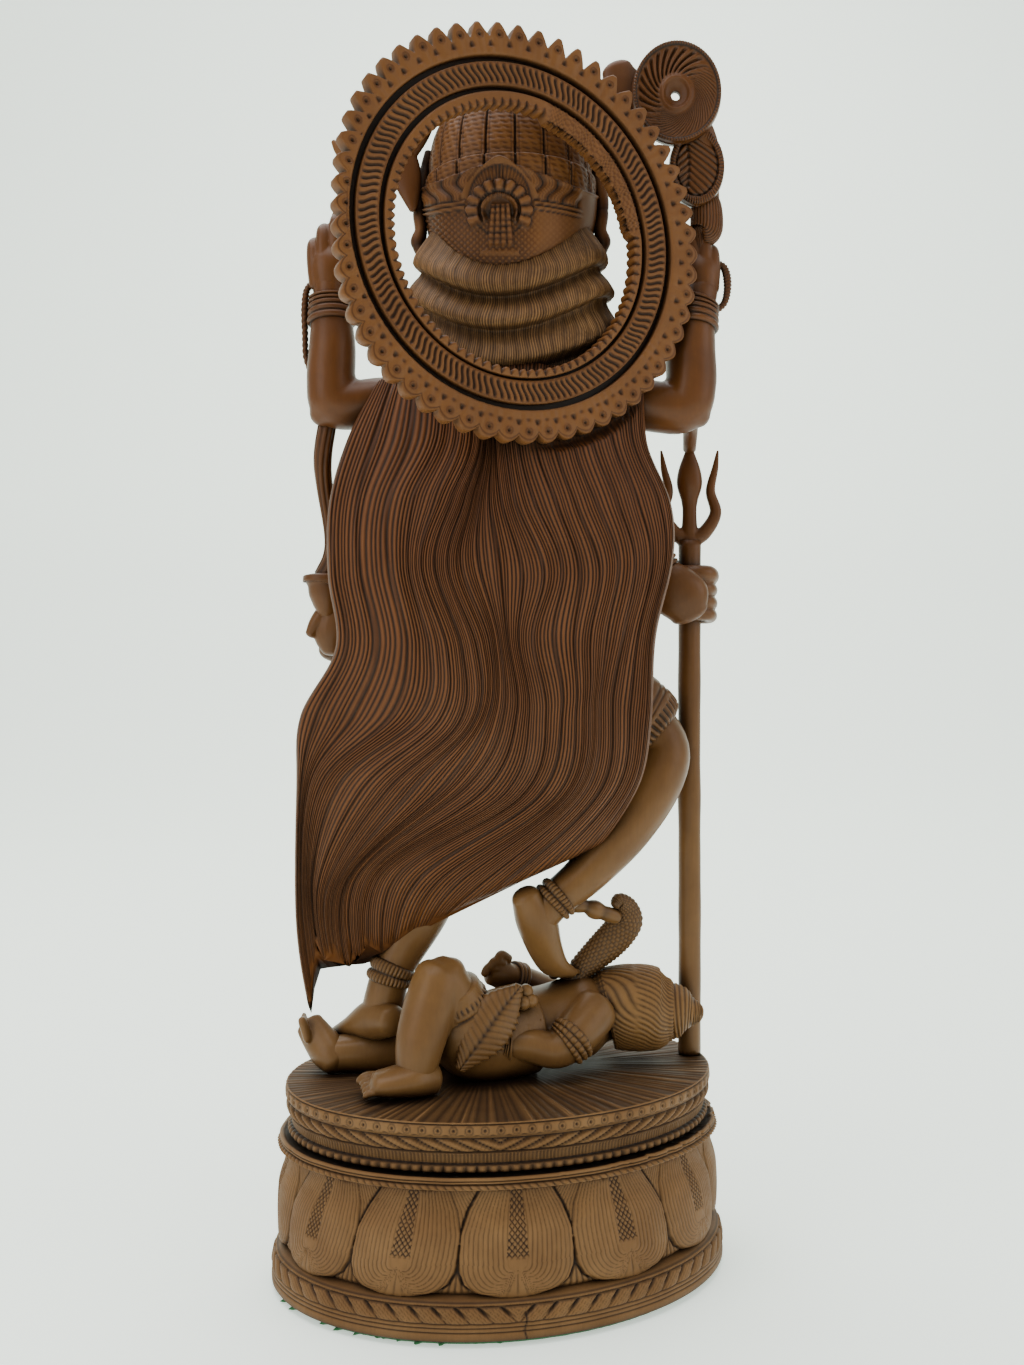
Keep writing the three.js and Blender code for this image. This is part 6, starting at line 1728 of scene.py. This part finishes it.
def lying_cloth():
    """The skin worn round the hips, with a notched edge, and its knot."""
    def notched(along, angles):
        hem = bump(along, 0.17, 0.045)
        groove = bump(along, 0.24, 0.02)
        notch = waves_round(angles, 34, 0.5) ** 4
        fur = waves_round(angles, 60, 3 * np.sin(along * 6)) * waves(along * 26 + angles)
        out = 0.14 * hem - 0.22 * hem * notch - 0.15 * groove - 0.04 * fur
        return out, 1 - unit(0.9 * hem * notch + 0.8 * groove + 0.25 * fur)

    def furry(along, angles):
        line = waves(along * 17 + 1.6 * np.abs(np.cos(angles)))
        spine = spot(np.cos(angles), 0.1)
        notch = waves(along * 14) ** 3 * step(unit(np.cos(angles)) ** 2, 0.7, 0.9)
        dark = 0.5 * (1 - line) + 0.9 * notch + 0.6 * spine
        return 0.12 * line - 0.3 * notch - 0.1 * spine, 1 - unit(dark)

    parts = [limb(LYING_SKIRT, sides=240, steps=30, round_ends=0.2, carve=notched)]
    parts.append(limb(LYING_FOLD, sides=120, steps=30, round_ends=0.8, carve=furry))
    parts += [ball(place, (0.75, 0.7, 0.75)) for place in CLOTH_KNOT]
    lying_parts("lying_cloth", parts, FLESH_WOOD)


def cobra():
    """The snake with a scaled hood, and the lumpy strut that joins it to the anklet."""
    def scales(along, angles):
        row = along * 34
        scale = waves(row) * waves_round(angles, 22, 0.5 * np.floor(row + 0.5))
        return 0.12 * scale, 0.25 + 0.75 * scale ** 0.5

    def lumps(along, angles):
        lump = waves(along * 3.3 + 0.2)
        return 0.22 * (lump - 0.5), 0.4 + 0.6 * lump

    parts = [limb(COBRA, sides=132, steps=26, carve=scales)]
    parts.append(limb(COBRA_STRUT, sides=24, steps=14, carve=lumps))
    many("cobra", parts, FLESH_WOOD)


felt_pad()
petal_belly()
leaf_band()
pedestal_rim()
drum()
halo_rim()
halo_flutes()
halo_beads()
slot_floor("outer_slot_floor", FLUTE_RADII[1] - 0.3, RIM_FOOT + 0.3, OPEN_ARC)
slot_floor("inner_slot_floor", BEAD_RING_RADII[1] - 0.3, FLUTE_RADII[0] + 0.3)
hair_cape()
hair_rolls()
crown()
side_ornaments()
standing_body()
standing_feet()
standing_hands()
bangles()
goddess_face()
ornaments()
skirt()
sword()
emblem()
small_things()
trident()
lying_body()
lying_feet_and_hands()
lying_jewels()
lying_hair()
lying_cloth()
cobra()

# Camera, lights and stage, in metres
CAMERA_AZIMUTH = math.radians(18)
CAMERA_PLACE = (-0.1582, -0.4996, 0.2254)
SENSOR_WIDTH = 36
# Focal length and height of the photographed frame, in its pixels
FOCAL_LENGTH = 1340
FRAME_HEIGHT = 1365

camera_data = bpy.data.cameras.new("camera")
camera_data.sensor_fit = "AUTO"
camera_data.sensor_width = SENSOR_WIDTH
camera_data.lens = SENSOR_WIDTH * FOCAL_LENGTH / FRAME_HEIGHT
camera = add_object("camera", camera_data)
camera.location = CAMERA_PLACE
camera.rotation_euler = (math.radians(90), 0, -CAMERA_AZIMUTH)
bpy.context.scene.camera = camera

# The floor as it runs back from under the object and curves up into a wall, as depth and height
BACKDROP_PROFILE = [(-2.5, 0.0), (0.8, 0.0), (1.4, 0.0), (1.9, 0.08), (2.25, 0.35), (2.4, 0.9), (2.4, 3.0)]
BACKDROP_REACH = 4


def area_light(name, place, target, size, energy):
    data = bpy.data.lights.new(name, "AREA")
    data.shape = "RECTANGLE"
    data.size, data.size_y = size
    data.energy = energy
    light = add_object(name, data)
    light.location = place
    light.rotation_euler = (Vector(target) - Vector(place)).to_track_quat("-Z", "Y").to_euler()


def stage():
    """A pale floor that curves up into a wall behind the object."""
    profile = smooth(BACKDROP_PROFILE, np.linspace(0, len(BACKDROP_PROFILE) - 1, 60))
    side = np.array([[-BACKDROP_REACH], [BACKDROP_REACH]])
    x, y = turned(side, profile[:, 0], -CAMERA_AZIMUTH)
    points = stacked(x, y, np.maximum(profile[:, 1], 0)).reshape(-1, 3)
    count = len(profile)
    faces = [(k, k + 1, count + k + 1, count + k) for k in range(count - 1)]
    mesh = bpy.data.meshes.new("backdrop")
    mesh.from_pydata(points.tolist(), [], faces)
    mesh.shade_smooth()
    material = bpy.data.materials.new("backdrop")
    material.use_nodes = True
    shader = material.node_tree.nodes["Principled BSDF"]
    shader.inputs["Base Color"].default_value = (0.9, 0.94, 0.89, 1)
    shader.inputs["Roughness"].default_value = 0.9
    shader.inputs["Specular IOR Level"].default_value = 0.2
    shader.inputs["Emission Color"].default_value = (0.87, 1.0, 0.88, 1)
    shader.inputs["Emission Strength"].default_value = 0.64
    mesh.materials.append(material)
    add_object("backdrop", mesh)


stage()
world = bpy.data.worlds.new("studio")
world.use_nodes = True
background = world.node_tree.nodes["Background"]
background.inputs["Color"].default_value = (0.94, 1.0, 0.94, 1)
background.inputs["Strength"].default_value = 0.66
bpy.context.scene.world = world
area_light("overhead", (-0.2, 0.1, 1.6), (0, 0, 0.2), (1.4, 1.4), 25)
area_light("left_window", (-1.5, -0.7, 0.9), (0, 0, 0.25), (1.0, 1.4), 11)
area_light("right_fill", (1.3, -1.0, 0.8), (0, 0, 0.25), (1.0, 1.2), 8)
area_light("wall_wash", (0.5, 1.0, 1.8), (0.7, 2.3, 0.6), (1.6, 0.8), 22)
